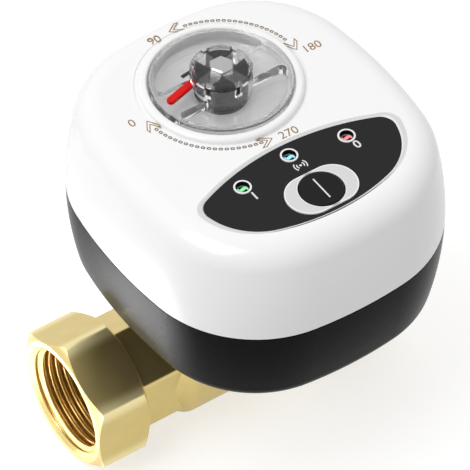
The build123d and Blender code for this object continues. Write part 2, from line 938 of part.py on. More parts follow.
def fast_gear():
    """Wheel and pinion in one piece, driven by the motor's pinion."""
    place = fast_axle_place()
    low = base_plate_top + thrust_gap
    turn = fast_pinion_turn()
    pinion_low = slow_wheel_low - pinion_overlap
    cluster = column(hub_radius, low, pinion_low, place)
    cluster += toothed_wheel(middle_module, pinion_teeth, pinion_low, fast_wheel_low, turn, place)
    cluster += toothed_wheel(fast_module, wheel_teeth, fast_wheel_low, fast_wheel_top, turn, place)
    cluster += column(upper_hub_radius, fast_wheel_top, top_plate_low - thrust_gap, place)
    return cluster - column(axle_radius + running_gap, low, top_plate_low, place)


def motor_pinion():
    place = motor_place()
    turn = meshed_turn(wheel_teeth, fast_pinion_turn(), pinion_teeth, motor_bearing)
    low = fast_wheel_low - level_gap
    high = low + motor_pinion_height
    wheel = toothed_wheel(fast_module, pinion_teeth, low, high, turn, place)
    return wheel - column(motor_shaft_radius, low, high, place)


def motor_shaft():
    low = fast_wheel_low - level_gap
    return column(motor_shaft_radius, low, top_plate_top + motor_socket_depth - thrust_gap, motor_place())


def gear_motor():
    """Round can with two flats, standing on the upper plate."""
    place = motor_place()
    can = column(motor_radius, top_plate_top, motor_top, place)
    can &= slab(2 * motor_radius, 2 * motor_flat_half_width, top_plate_top, motor_top, place)
    socket_top = top_plate_top + motor_socket_depth
    return can - column(motor_shaft_radius + running_gap, top_plate_top, socket_top, place)


def gear_axles():
    return [
        column(axle_radius, base_plate_low, top_plate_top, place)
        for place in (slow_axle_place(), fast_axle_place())
    ]


def gearbox_plate(low, shaft_hole_radius):
    depth = plate_front() + plate_rear
    outline = RectangleRounded(2 * plate_half_width, depth, plate_corner_radius)
    plate = Pos(0, plate_rear - depth / 2, low) * extrude(outline, plate_thickness)
    plate -= column(shaft_hole_radius, low, low + plate_thickness)
    for place in (slow_axle_place(), fast_axle_place()):
        plate -= column(axle_radius, low, low + plate_thickness, place)
    for place in support_places():
        plate -= column(gearbox_screw_radius + screw_gap, low, low + plate_thickness, place)
    return plate


def base_plate():
    plate = gearbox_plate(base_plate_low, shaft_radius + running_gap + bush_wall)
    for place in mount_screw_places():
        plate -= column(screw_radius + screw_gap, base_plate_low, base_plate_top, place)
    return plate


def top_plate():
    plate = gearbox_plate(top_plate_low, upper_shaft_radius + running_gap + bush_wall)
    return plate - column(motor_shaft_radius + loose_gap, top_plate_low, top_plate_top, motor_place())


def gearbox_spacers():
    return [
        tube(spacer_radius, gearbox_screw_radius + screw_gap, base_plate_top, top_plate_low, place)
        for place in support_places()
    ]


def gearbox_screws():
    return [
        screw(gearbox_screw_radius, spacer_radius, gearbox_screw_head_height, top_plate_top,
              floor_top + screw_gap, place, points_up=False)
        for place in support_places()
    ]


def flanged_bush(bore, low, plate_low, plate_high):
    """Bronze bush pressed through a plate, its flange on the gear side."""
    outer = bore + running_gap + bush_wall
    bush = column(outer, low, plate_high)
    flange = outer + bush_flange_wall - bush_wall
    if low < plate_low:
        bush += column(flange, low, plate_low)
    else:
        bush += column(flange, plate_high, plate_high + bush_flange_thickness)
    return bush - column(bore + running_gap, low, plate_high + bush_flange_thickness)


def lower_bush():
    return flanged_bush(shaft_radius, base_plate_low, base_plate_low, base_plate_top)


def upper_bush():
    low = top_plate_low - bush_flange_thickness
    return flanged_bush(upper_shaft_radius, low, top_plate_low, top_plate_top)


# Output shaft, cam and limit switches

def output_shaft():
    coupling_low = flange_top + coupling_gap
    shaft = column(coupling_radius, coupling_low, base_plate_low - thrust_gap)
    shaft += column(shaft_radius, base_plate_low - thrust_gap, output_wheel_top)
    shaft += column(upper_shaft_radius, output_wheel_top, shaft_hex_low)
    shaft += column(spring_seat_radius, spring_seat - spring_seat_thickness, spring_seat)
    hexagon = RegularPolygon(shaft_hex_flats / 2, 6, major_radius=False)
    tip = Pos(0, 0, shaft_hex_low) * extrude(hexagon, shaft_top - shaft_hex_low)
    tip = chamfer(tip.faces().sort_by(Axis.Z)[-1].edges(), shaft_top_chamfer)
    shaft += tip
    socket = drive_square + 2 * running_gap
    shaft -= slab(socket, socket, coupling_low, drive_top + coupling_gap)
    return shaft


def limit_cam():
    """Two-level disc: half of the turn at the full radius, half at the low radius."""
    high = cam_low + cam_height
    cam = column(cam_low_radius, cam_low, high)
    lobe = column(cam_radius, cam_low, high)
    lobe &= slab(2 * cam_radius, cam_radius, cam_low, high, (0, -cam_radius / 2))
    return cam + lobe - column(upper_shaft_radius, cam_low, high)


def limit_switch(side):
    """Snap switch beside the cam, its lever shown pressed by the lobe."""
    lever_face = cam_radius + lever_gap
    body_face = lever_face + lever_thickness + lever_stand_off
    middle_y = -switch_forward
    body = slab(switch_depth, switch_length, top_plate_top, top_plate_top + switch_height,
                (body_face + switch_depth / 2, middle_y))
    lever_low = cam_low + (cam_height - lever_height) / 2
    lever = slab(lever_thickness, switch_length, lever_low, lever_low + lever_height,
                 (lever_face + lever_thickness / 2, middle_y))
    root_y = middle_y + switch_length / 2 - lever_stand_off / 2
    root = slab(lever_stand_off + lever_thickness, lever_stand_off, lever_low, lever_low + lever_height,
                (body_face - (lever_stand_off + lever_thickness) / 2, root_y))
    plunger = Pos(body_face, middle_y, lever_low + lever_height / 2) * Rot(0, -90, 0) * Cylinder(
        plunger_radius, lever_stand_off, align=UPRIGHT)
    switch = body + lever + root + plunger
    return switch if side > 0 else mirror(switch, Plane.YZ)


# Circuit board

def board_post_places():
    side = board_half_width - board_post_side_inset
    front_pair = mirrored_places((side, board_post_front_inset - board_front))
    return front_pair + mirrored_places((side, -board_rear - board_post_rear_inset))


def circuit_board():
    depth = board_front - board_rear
    board = slab(2 * board_half_width, depth, board_low, board_top, (0, -(board_front + board_rear) / 2))
    for place in housing_screw_places():
        board -= column(post_radius + loose_gap, board_low, board_top, place)
    for place in board_post_places():
        board -= column(board_screw_radius + loose_gap, board_low, board_top, place)
    return board


def board_screws():
    return [
        screw(board_screw_radius, board_screw_head_radius, board_screw_head_height, board_low,
              roof_low - screw_gap, place)
        for place in board_post_places()
    ]


def radio_module():
    """Shielded radio on the board's underside, its bare aerial strip at one end."""
    strip_low = board_low - radio_strip_thickness
    strip = slab(radio_width, radio_length, strip_low, board_low, radio_place)
    shield_length = radio_length * radio_shield_share
    shield_place = (radio_place[0], radio_place[1] - (radio_length - shield_length) / 2)
    shield = slab(radio_width - radio_shield_inset, shield_length - radio_shield_inset,
                  board_low - radio_height, strip_low, shield_place)
    return strip + shield


def terminal_block():
    block = slab(terminal_width, terminal_length, board_low - terminal_height, board_low, terminal_place)
    block_low = board_low - terminal_height
    for way in range(terminal_ways):
        shift = terminal_length * ((way + 0.5) / terminal_ways - 0.5)
        place = (terminal_place[0], terminal_place[1] + shift)
        block -= column(terminal_hole_radius, block_low, block_low + terminal_hole_depth, place)
    return block


def tact_switch():
    body = slab(tact_width, tact_width, board_top, board_top + tact_height, button_place)
    floor = plunger_low() - button_travel - running_gap
    return body - column(button_stem_radius + running_gap, floor, board_top + tact_height, button_place)


def plunger_low():
    return board_top + tact_height - loose_gap


def switch_plunger():
    return column(button_stem_radius, plunger_low(), button_low, button_place)


def indicator_lamp(place):
    """Moulded lamp with a collar on the board and a domed tip just under the panel."""
    tip = panel_top - lamp_sink
    body = column(lamp_radius, board_top, tip - lamp_radius, place)
    dome = Pos(place[0], place[1], tip - lamp_radius) * Sphere(lamp_radius)
    return body + dome + column(lamp_collar_radius, board_top, board_top + lamp_collar_height, place)


# Control panel and button

def surround_outline(inset):
    length = 2 * (surround_half_straight + surround_radius - inset)
    return SlotOverall(length, 2 * (surround_radius - inset))


def control_panel():
    panel = extrude(panel_outline(panel_gap, panel_low), panel_thickness)
    for place in lamp_places():
        panel -= column(lamp_hole_radius, panel_low, panel_top, place)
        panel -= column(bezel_radius, panel_top - bezel_height, panel_top, place)
    seat_low = panel_top - surround_thickness
    button_axis = Pos(button_place[0], button_place[1], seat_low)
    panel -= button_axis * extrude(surround_outline(0), surround_thickness)
    return panel - column(button_radius + button_gap, panel_low, panel_top, button_place)


def lamp_bezels():
    return [
        tube(bezel_radius, lamp_hole_radius, panel_top - bezel_height, panel_top + bezel_height, place)
        for place in lamp_places()
    ]


def button_surround():
    low = panel_top - surround_thickness
    high = panel_top + bezel_height
    button_axis = Pos(button_place[0], button_place[1], low)
    ring = button_axis * extrude(surround_outline(panel_gap), high - low)
    ring = fillet(ring.faces().sort_by(Axis.Z)[-1].edges(), surround_rounding)
    return ring - column(button_radius + button_gap, low, high, button_place)


def power_button():
    top = housing_top + button_proud
    cap = column(button_radius, button_low, top, button_place)
    cap = fillet(cap.faces().sort_by(Axis.Z)[-1].edges(), button_crown)
    flange_high = button_low + button_flange_thickness
    return cap + column(button_radius + button_flange_lip, button_low, flange_high, button_place)


# Dial

def knob_well():
    """Left-over half disc between the rim, the finger bar and the boss."""
    disc = Circle(knob_well_radius) - Circle(knob_boss_radius)
    half = Pos(0, knob_bar_half_width) * Rectangle(2 * knob_radius, knob_radius,
                                                  align=(Align.CENTER, Align.MIN))
    outline = disc & half
    outer_corners = outline.vertices().filter_by(lambda v: hypot(v.X, v.Y) > knob_boss_radius + overrun)
    outline = fillet(outer_corners, knob_well_corner)
    return Pos(0, 0, knob_floor) * extrude(outline, knob_well_depth + overrun)


def hexagon_hole(low, high):
    outline = RegularPolygon(shaft_hex_flats / 2 + hex_slide_gap, 6, major_radius=False)
    return Pos(0, 0, low) * extrude(outline, high - low)


def dial_knob():
    """Clear knob: rim, two finger wells, a bar across and a slotted boss in the middle."""
    disc = column(knob_radius, knob_low, knob_rim)
    disc = fillet(disc.faces().sort_by(Axis.Z)[-1].edges(), knob_edge_radius)
    disc -= knob_well()
    disc -= Rot(0, 0, 180) * knob_well()
    boss = column(knob_boss_radius, knob_floor, knob_boss_top)
    boss = chamfer(boss.faces().sort_by(Axis.Z)[-1].edges(), knob_boss_chamfer)
    knob = disc + boss
    for step in range(knob_boss_slot_count):
        notch = Pos(knob_boss_radius, 0, knob_rim) * Box(
            2 * knob_boss_slot_depth, knob_boss_slot_width, knob_boss_top - knob_rim, align=UPRIGHT)
        knob -= Rot(0, 0, 360 * (step + 0.5) / knob_boss_slot_count) * notch
    knob -= column(clutch_radius + hub_pocket_gap, knob_low, clutch_top)
    return knob - hexagon_hole(clutch_top, knob_boss_top) - pointer_bar(running_gap)


def clutch_hub():
    """Dark sleeve that slides on the shaft's hexagon; slots right across it leave claws at its top."""
    hub = column(clutch_radius, knob_low, clutch_top)
    hub += column(clutch_neck_radius, clutch_low, knob_low)
    slot = slab(2 * clutch_radius, claw_slot_width, clutch_top - claw_slot_depth, clutch_top)
    for step in range(claw_slot_count):
        hub -= Rot(0, 0, 180 * step / claw_slot_count + pointer_skew) * slot
    return hub - hexagon_hole(clutch_low, clutch_top) - pointer_bar(running_gap)


def pointer_bar(spare=0.0):
    """Slot-shaped bar on the knob, skewed a little across the finger bar."""
    outline = SlotOverall(pointer_length + 2 * spare, pointer_width + 2 * spare)
    centre = polar(pointer_length / 2, pi + radians(pointer_skew), pointer_inner_place)
    place = Pos(centre[0], centre[1], knob_rim) * Rot(0, 0, pointer_skew)
    return place * extrude(outline, pointer_height + spare)


def pointer():
    bar = pointer_bar()
    return fillet(bar.faces().sort_by(Axis.Z)[-1].edges(), pointer_rounding)


def knob_spring():
    """Return spring between the shaft's shoulder and the sliding hub."""
    low = spring_seat + spring_wire_radius
    height = clutch_low - spring_seat - 2 * spring_wire_radius
    path = Pos(0, 0, low) * Helix(height / spring_turns, height, spring_coil_radius)
    section = Plane(origin=path @ 0, z_dir=path % 0) * Circle(spring_wire_radius)
    return sweep(section, path=path, is_frenet=True)


def main():
    os.makedirs("parts", exist_ok=True)
    nodes = {
        "valve_body": valve_body(),
        "end_cap": end_cap(),
        "ball": ball(),
        "inlet_seat": inlet_seat(),
        "outlet_seat": mirror(inlet_seat(), Plane.YZ),
        "body_seal": body_seal(),
        "stem": stem(),
        "stem_rings": Compound(stem_rings()),
        "thrust_washer": thrust_washer(),
        "mounting_screws": Compound(mounting_screws()),
        "lower_housing": lower_housing(),
        "upper_cover": upper_cover(),
        "housing_gasket": housing_gasket(),
        "housing_screws": Compound(housing_screws()),
        "shaft_seal": shaft_seal(),
        "cable_grommet": cable_grommet(),
        "base_plate": base_plate(),
        "top_plate": top_plate(),
        "gearbox_spacers": Compound(gearbox_spacers()),
        "gearbox_screws": Compound(gearbox_screws()),
        "gear_axles": Compound(gear_axles()),
        "lower_bush": lower_bush(),
        "upper_bush": upper_bush(),
        "output_shaft": output_shaft(),
        "output_gear": output_gear(),
        "slow_gear": slow_gear(),
        "fast_gear": fast_gear(),
        "motor_pinion": motor_pinion(),
        "motor_shaft": motor_shaft(),
        "gear_motor": gear_motor(),
        "limit_cam": limit_cam(),
        "open_switch": limit_switch(-1),
        "shut_switch": limit_switch(1),
        "circuit_board": circuit_board(),
        "board_screws": Compound(board_screws()),
        "radio_module": radio_module(),
        "terminal_block": terminal_block(),
        "tact_switch": tact_switch(),
        "switch_plunger": switch_plunger(),
        "control_panel": control_panel(),
        "lamp_bezels": Compound(lamp_bezels()),
        "button_surround": button_surround(),
        "power_button": power_button(),
        "dial_knob": dial_knob(),
        "clutch_hub": clutch_hub(),
        "pointer": pointer(),
        "knob_spring": knob_spring(),
    }
    for name, place in zip(("left_lamp", "middle_lamp", "right_lamp"), lamp_places()):
        nodes[name] = indicator_lamp(place)
    for name, shape in nodes.items():
        export_node(name, shape)


main()
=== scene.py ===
# %% [markdown]
# # A motorised water valve, dressed for a studio picture
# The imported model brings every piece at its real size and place. This lesson gives each piece
# the finish of its real material, and adds what is too fine for the solids: pipe threads,
# printed marks and screw sockets. It starts by loading the model as a fixed frame.

# %% Load the frame
import json
import math
import bpy
import numpy as np
from mathutils import Matrix, Vector


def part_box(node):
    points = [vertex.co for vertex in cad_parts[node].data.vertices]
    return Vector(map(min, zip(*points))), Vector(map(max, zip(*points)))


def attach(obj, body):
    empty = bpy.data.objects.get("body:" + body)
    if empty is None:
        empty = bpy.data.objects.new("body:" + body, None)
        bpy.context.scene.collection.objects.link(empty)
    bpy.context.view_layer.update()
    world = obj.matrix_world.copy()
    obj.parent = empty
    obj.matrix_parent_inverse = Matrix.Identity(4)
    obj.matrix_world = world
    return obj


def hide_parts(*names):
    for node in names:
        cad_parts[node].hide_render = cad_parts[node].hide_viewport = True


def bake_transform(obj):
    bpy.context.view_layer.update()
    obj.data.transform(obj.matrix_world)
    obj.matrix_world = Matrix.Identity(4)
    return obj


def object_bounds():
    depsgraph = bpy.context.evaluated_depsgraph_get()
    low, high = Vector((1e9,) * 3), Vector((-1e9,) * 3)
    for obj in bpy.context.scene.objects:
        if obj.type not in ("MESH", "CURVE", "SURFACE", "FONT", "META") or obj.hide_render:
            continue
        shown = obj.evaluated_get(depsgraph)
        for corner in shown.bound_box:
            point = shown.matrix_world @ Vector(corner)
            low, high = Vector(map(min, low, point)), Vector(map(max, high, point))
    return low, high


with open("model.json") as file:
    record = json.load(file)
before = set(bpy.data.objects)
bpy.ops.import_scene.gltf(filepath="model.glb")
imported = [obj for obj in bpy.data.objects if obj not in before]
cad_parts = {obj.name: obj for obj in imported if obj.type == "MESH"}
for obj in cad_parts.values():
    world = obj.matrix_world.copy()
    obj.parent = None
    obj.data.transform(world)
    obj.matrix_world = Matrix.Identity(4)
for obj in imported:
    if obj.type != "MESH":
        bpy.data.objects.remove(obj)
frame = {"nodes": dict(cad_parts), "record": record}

solid_bounds = [list(corner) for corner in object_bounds()]
MM = 0.001
print("pieces in the frame:", len(frame["nodes"]))

# %% [markdown]
# The camera comes first, because everything is judged through it. The photograph was taken with
# a long lens, so the picture is nearly parallel. The three directions of the camera come from
# its azimuth, elevation and a slight roll, and its place from the distance to the valve's stem.

# %% Camera
CAMERA_AZIMUTH = math.radians(-34.970)
CAMERA_ELEVATION = math.radians(47.288)
CAMERA_ROLL = math.radians(0.627)
CAMERA_DISTANCE = 1011.06 * MM
CAMERA_RIGHT = 3.590 * MM
CAMERA_UP = 20.232 * MM
FOCAL_PIXELS = 4346.5
PHOTO_PIXELS = 470
SENSOR_WIDTH = 36.0

shaft_low, shaft_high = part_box("output_shaft")
stem = Vector(((shaft_low.x + shaft_high.x) / 2, 0, 0))


def camera_axes(azimuth, elevation, roll):
    """Right, up and back directions: back points from the object to the lens, right is level
    before the roll, and the roll turns right and up about back."""
    back = Vector((
        math.sin(azimuth) * math.cos(elevation),
        -math.cos(azimuth) * math.cos(elevation),
        math.sin(elevation),
    ))
    level = Vector((math.cos(azimuth), math.sin(azimuth), 0))
    upright = back.cross(level)
    right = level * math.cos(roll) + upright * math.sin(roll)
    return right, back.cross(right), back


def put_in_scene(name, data):
    """An object for a mesh, a lamp, a text or a camera, at the origin."""
    placed = bpy.data.objects.new(name, data)
    bpy.context.scene.collection.objects.link(placed)
    return placed


right, up, back = camera_axes(CAMERA_AZIMUTH, CAMERA_ELEVATION, CAMERA_ROLL)
lens = bpy.data.cameras.new("photo_camera")
lens.sensor_width = SENSOR_WIDTH
lens.lens = FOCAL_PIXELS * SENSOR_WIDTH / PHOTO_PIXELS
camera = put_in_scene("photo_camera", lens)
camera.matrix_world = Matrix.Translation(
    stem + back * CAMERA_DISTANCE + right * CAMERA_RIGHT + up * CAMERA_UP
) @ Matrix((right, up, back)).transposed().to_4x4()
bpy.context.scene.camera = camera
print("lens", round(lens.lens, 1), "mm, from", [round(v, 3) for v in camera.location])

# %% [markdown]
# Materials are small node networks. Colours are written as the sRGB hex values that a picture
# editor shows, and one function turns them linear. One more function adds a node with its
# settings and links, so that each finish below reads as a short list of what it is made of.

# %% Colour and node helpers
MIX_FACTOR, MIX_FIRST, MIX_SECOND, MIX_RESULT = 0, 6, 7, 2


def linear(hex_colour):
    """sRGB to linear: below the toe a straight line, above it a power of 2.4."""
    channels = [int(hex_colour[start:start + 2], 16) / 255 for start in (1, 3, 5)]
    straight = (c / 12.92 if c <= 0.04045 else ((c + 0.055) / 1.055) ** 2.4 for c in channels)
    return tuple(straight) + (1.0,)


def darker(hex_colour, share):
    """The same colour with each linear channel brought down by a share."""
    return tuple(channel * (1 - share) for channel in linear(hex_colour)[:3]) + (1.0,)


def add(material, kind, settings=None, links=None, **attributes):
    """Adds a shader node, sets its attributes and inputs, and links inputs from other sockets."""
    node = material.node_tree.nodes.new("ShaderNode" + kind)
    for attribute, value in attributes.items():
        setattr(node, attribute, value)
    for name, value in (settings or {}).items():
        node.inputs[name].default_value = value
    for name, source in (links or {}).items():
        material.node_tree.links.new(source, node.inputs[name])
    return node


def blank_material(name):
    """A material with no nodes yet, and the object coordinates that its patterns follow."""
    material = bpy.data.materials.new(name)
    material.use_nodes = True
    material.node_tree.nodes.clear()
    return material, add(material, "TexCoord").outputs["Object"]


def close_material(material, shader):
    """Ends a material with its output, fed by the shader."""
    add(material, "OutputMaterial", links={"Surface": shader.outputs[0]})
    return material


def per_metre(size_mm):
    """Scale of a pattern whose features are that many millimetres apart."""
    return 1 / (size_mm * MM)


# %% [markdown]
# Most of the housing is injection-moulded plastic. The eye reads it from three things: a sheen
# set by how finely the mould was polished, a faint grain from the spark-eroded steel, and flow
# marks some centimetres long where the colour wanders by a few percent. The grain could come
# from an image, but an image has to be laid out on each surface, while noise in the piece's own
# coordinates is ready at once and has a true size. One recipe serves all the plastics, with each
# one's own polish, grain and tone.

# %% Moulded plastics
FLOW_MM = 24.0
POLISH_SPREAD = 0.15
COAT_ROUGHNESS = 0.08


def moulded(name, colour, roughness, grain_mm, depth_mm, wander=0.04, coat=0.0, specular=0.5):
    """Plastic from a mould: grain size and depth in millimetres, wander as a share of the tone."""
    material, place = blank_material(name)
    flow = add(material, "TexNoise", {"Scale": per_metre(FLOW_MM), "Detail": 2.0},
               {"Vector": place})
    grain = add(material, "TexNoise", {"Scale": per_metre(grain_mm), "Detail": 3.0},
                {"Vector": place})
    tone = add(material, "Mix",
               {MIX_FIRST: linear(colour), MIX_SECOND: darker(colour, wander)},
               {MIX_FACTOR: flow.outputs["Fac"]}, data_type="RGBA")
    polish = add(material, "MapRange",
                 {"To Min": roughness * (1 - POLISH_SPREAD),
                  "To Max": roughness * (1 + POLISH_SPREAD)},
                 {"Value": grain.outputs["Fac"]})
    relief = add(material, "Bump", {"Distance": depth_mm * MM},
                 {"Height": grain.outputs["Fac"]})
    shader = add(material, "BsdfPrincipled",
                 {"Coat Weight": coat, "Coat Roughness": COAT_ROUGHNESS,
                  "Specular IOR Level": specular},
                 {"Base Color": tone.outputs[MIX_RESULT], "Roughness": polish.outputs[0],
                  "Normal": relief.outputs[0]})
    return close_material(material, shader)


white_abs = moulded("polished_white_abs", "#F8F8F8", 0.22, 0.9, 0.0006, 0.015, coat=0.3)
black_abs = moulded("satin_black_abs", "#0B0B0C", 0.26, 0.7, 0.0015, 0.15, specular=0.05)
panel_acrylic = moulded("printed_black_acrylic", "#252526", 0.35, 0.6, 0.0008, 0.08, specular=0.1)
bezel_abs = moulded("white_abs_rings", "#F4F4F4", 0.30, 0.6, 0.0010, 0.02)
# Light grey: the button's own trim, and painted shade on the rim round the panel.
grey_trim_and_painted_shade = moulded("light_grey_abs_and_painted_shade", "#DADADA", 0.42, 0.5, 0.0015, 0.03)
black_button_and_painted_shade = moulded("matt_black_abs_and_painted_shade", "#131313", 0.45, 0.4, 0.0030, 0.12, specular=0.15)
pointer_abs = moulded("red_abs_pointer", "#E00200", 0.35, 0.6, 0.0010, 0.10, specular=0.2)
hub_acetal = moulded("dark_acetal_hub", "#4A4A4C", 0.28, 0.6, 0.0015, 0.12)
gear_acetal = moulded("natural_acetal", "#E9E7DC", 0.40, 0.8, 0.0020, 0.04)
seat_ptfe = moulded("skived_ptfe", "#F1F0EA", 0.55, 0.5, 0.0040, 0.03)
switch_phenolic = moulded("phenolic_switch_case", "#1B1B1D", 0.50, 0.5, 0.0040, 0.10)
terminal_nylon = moulded("green_nylon_terminal", "#1E7A3A", 0.45, 0.6, 0.0030, 0.08)
print("plastics, from", white_abs.name, "to", terminal_nylon.name)

# %% [markdown]
# Rubber has no polish at all: its sheen is broad and its surface has the tiny pits that the
# mould and the blooming of the compound leave. A voronoi pattern gives pits rather than bumps.

# %% Rubber
PIT_MM = 0.5
PIT_DEPTH_MM = 0.012
BLOOM_MM = 6.0
BLOOM_COLOUR = "#2E2E2C"


def rubber(name, colour):
    """Rubber with pits, and a greyer bloom in patches."""
    material, place = blank_material(name)
    pits = add(material, "TexVoronoi", {"Scale": per_metre(PIT_MM)}, {"Vector": place})
    bloom = add(material, "TexNoise", {"Scale": per_metre(BLOOM_MM)}, {"Vector": place})
    tone = add(material, "Mix",
               {MIX_FIRST: linear(colour), MIX_SECOND: linear(BLOOM_COLOUR)},
               {MIX_FACTOR: bloom.outputs["Fac"]}, data_type="RGBA")
    relief = add(material, "Bump", {"Distance": PIT_DEPTH_MM * MM},
                 {"Height": pits.outputs["Distance"]})
    shader = add(material, "BsdfPrincipled",
                 {"Roughness": 0.72, "Specular IOR Level": 0.35},
                 {"Base Color": tone.outputs[MIX_RESULT], "Normal": relief.outputs[0]})
    return close_material(material, shader)


nitrile = rubber("nitrile_rubber", "#191919")
print("rubber:", nitrile.name)

# %% [markdown]
# The valve is forged brass, turned at its ends. Brass reflects like a mirror tinted yellow, so
# its look is mostly what stands round it, softened by fine lathe lines. The lines are rings
# about the pipe. Real ones are a tenth of a millimetre apart and would not show, so they are
# drawn a little over a millimetre apart and very shallow. A wave texture has its own distance
# between rings at a scale of one, which the scale has to allow for. A forging is also a little
# uneven, which a broad noise gives. The corners of its wrench hexagons are paler and rougher:
# partly wear from the wrench, partly a painted highlight along the edges. They are what lies
# furthest from the pipe's axis, so the distance from that axis finds them.

# %% Metals
WAVE_PERIOD = 2 * math.pi / 20
LATHE_LINE_MM = 1.257
SMOOTH_SHARE, ROUGH_SHARE = 0.9, 1.15
RUBBED_HIGHLIGHT_FROM_MM, RUBBED_HIGHLIGHT_TO_MM = 16.3, 17.5
RUBBED_ROUGHER = 0.1


def rubbed_and_highlit_corners(material, place):
    """From 0 to 1 over the last 1.2 mm of the distance from the pipe's axis, where wear and a
    painted highlight lie.
    """
    from_axis = add(material, "VectorMath", {1: (0, 1, 1)}, {0: place},
                    operation="MULTIPLY")
    distance = add(material, "VectorMath", links={0: from_axis.outputs[0]},
                   operation="LENGTH")
    return add(material, "MapRange",
               {"From Min": RUBBED_HIGHLIGHT_FROM_MM * MM, "From Max": RUBBED_HIGHLIGHT_TO_MM * MM},
               {"Value": distance.outputs["Value"]}, interpolation_type="SMOOTHSTEP")


def turned_metal(name, colour, roughness, direction, line_depth_mm, uneven_mm=5.0,
                 tarnish=0.12, rubbed_highlight=None):
    """Metal with rings about an axis: direction X for the pipe's pieces and Z for the stem's."""
    material, place = blank_material(name)
    lines = add(material, "TexWave",
                {"Scale": WAVE_PERIOD * per_metre(LATHE_LINE_MM), "Distortion": 0.6, "Detail": 1.0},
                {"Vector": place}, wave_type="RINGS", rings_direction=direction)
    cast = add(material, "TexNoise", {"Scale": per_metre(uneven_mm), "Detail": 4.0},
               {"Vector": place})
    tone = add(material, "Mix",
               {MIX_FIRST: linear(colour), MIX_SECOND: darker(colour, tarnish)},
               {MIX_FACTOR: cast.outputs["Fac"]}, data_type="RGBA")
    polish = add(material, "MapRange",
                 {"To Min": roughness * SMOOTH_SHARE, "To Max": roughness * ROUGH_SHARE},
                 {"Value": cast.outputs["Fac"]})
    # Paler and rougher at the hexagons' corners: wear, and a painted highlight along the edges.
    if rubbed_highlight:
        corners = rubbed_and_highlit_corners(material, place)
        tone = add(material, "Mix", {MIX_SECOND: linear(rubbed_highlight)},
                   {MIX_FACTOR: corners.outputs[0], MIX_FIRST: tone.outputs[MIX_RESULT]},
                   data_type="RGBA")
        polish = add(material, "Math", {1: RUBBED_ROUGHER},
                     {0: corners.outputs[0], 2: polish.outputs[0]}, operation="MULTIPLY_ADD")
    relief = add(material, "Bump", {"Distance": line_depth_mm * MM},
                 {"Height": lines.outputs["Fac"]})
    shader = add(material, "BsdfPrincipled", {"Metallic": 1.0},
                 {"Base Color": tone.outputs[MIX_RESULT], "Roughness": polish.outputs[0],
                  "Normal": relief.outputs[0]})
    return close_material(material, shader)


# The pale corner colour is wear on the hexagons, and a painted highlight on their edges.
forged_brass = turned_metal("forged_brass", "#E4CE8A", 0.33, "X", 0.0006, rubbed_highlight="#F6E8B0")
thread_brass = turned_metal("cut_brass_thread", "#E3BE78", 0.24, "X", 0.0006)
chrome = turned_metal("polished_chrome", "#E4E5E6", 0.06, "Z", 0.0002, tarnish=0.03)
stainless = turned_metal("turned_stainless", "#B9BABB", 0.26, "Z", 0.0012)
zinc_steel = turned_metal("zinc_plated_steel", "#AEB0B2", 0.32, "Z", 0.0010, 1.5, tarnish=0.2)
sintered_bronze = turned_metal("sintered_bronze", "#B98B58", 0.42, "Z", 0.0010, 0.6, tarnish=0.25)
motor_can = turned_metal("drawn_steel_can", "#C2C4C6", 0.24, "Z", 0.0008, 8.0)
spring_wire = turned_metal("spring_wire", "#A5A7A9", 0.30, "Z", 0.0004)
print("metals, from", forged_brass.name, "to", spring_wire.name)

# %% [markdown]
# The gearbox plates are stamped from rolled sheet. Rolling leaves straight hairlines, which a
# noise stretched along X gives. The tinned shield of the radio is the same sheet, brighter.

# %% Rolled sheet
HAIRLINE_MM, HAIRLINE_DEPTH_MM = 0.3, 0.002
HAIRLINE_STRETCH = (0.04, 1.0, 1.0)
HAIRLINE_DARKER = 0.18


def rolled_sheet(name, colour, roughness):
    """Sheet metal: a noise drawn out along X sets both the tone and the relief."""
    material, place = blank_material(name)
    stretch = add(material, "Mapping", {"Scale": HAIRLINE_STRETCH}, {"Vector": place})
    hairlines = add(material, "TexNoise",
                    {"Scale": per_metre(HAIRLINE_MM), "Detail": 2.0},
                    {"Vector": stretch.outputs[0]})
    tone = add(material, "Mix",
               {MIX_FIRST: linear(colour), MIX_SECOND: darker(colour, HAIRLINE_DARKER)},
               {MIX_FACTOR: hairlines.outputs["Fac"]}, data_type="RGBA")
    relief = add(material, "Bump", {"Distance": HAIRLINE_DEPTH_MM * MM},
                 {"Height": hairlines.outputs["Fac"]})
    shader = add(material, "BsdfPrincipled", {"Metallic": 1.0, "Roughness": roughness},
                 {"Base Color": tone.outputs[MIX_RESULT], "Normal": relief.outputs[0]})
    return close_material(material, shader)


plate_steel = rolled_sheet("rolled_zinc_sheet", "#BCBEC0", 0.34)
shield_tin = rolled_sheet("tinned_shield", "#D2D4D6", 0.22)
print("sheets:", plate_steel.name, "and", shield_tin.name)

# %% [markdown]
# The circuit board is green solder mask over a glass weave. The weave shows as a fine square
# pattern of slightly lighter threads, half a millimetre apart. Two crossed waves could draw it,
# but a brick texture has the threads and the gaps between them in one node.

# %% Circuit board
WEAVE_MM = 0.5
board_laminate, board_place = blank_material("solder_mask_on_glass_laminate")
weave = add(board_laminate, "TexBrick",
            {"Scale": per_metre(WEAVE_MM), "Color1": linear("#0F5A2C"), "Color2": linear("#126433"),
             "Mortar": linear("#0B4723"), "Mortar Size": 0.08}, {"Vector": board_place})
board_shader = add(board_laminate, "BsdfPrincipled", {"Roughness": 0.35},
                   {"Base Color": weave.outputs["Color"]})
close_material(board_laminate, board_shader)
print("board weave:", WEAVE_MM, "mm")

# %% [markdown]
# The knob is clear polycarbonate, so its look is what lies under it, bent at each edge. Light
# that is caught inside a real one leaks out at every surface in the end; a small share of plain
# see-through stands for that. The faint wipe marks of handling break up its highlights. The
# lamps are dark dyed resin with a faint glow, and the light of the lit die inside is painted as
# a glowing glint on each dome.

# %% Clear plastics
CLEAR_IOR = 1.58
WIPE_MM = 2.5
CLEAN_SHARE, WIPED_SHARE = 0.6, 1.6


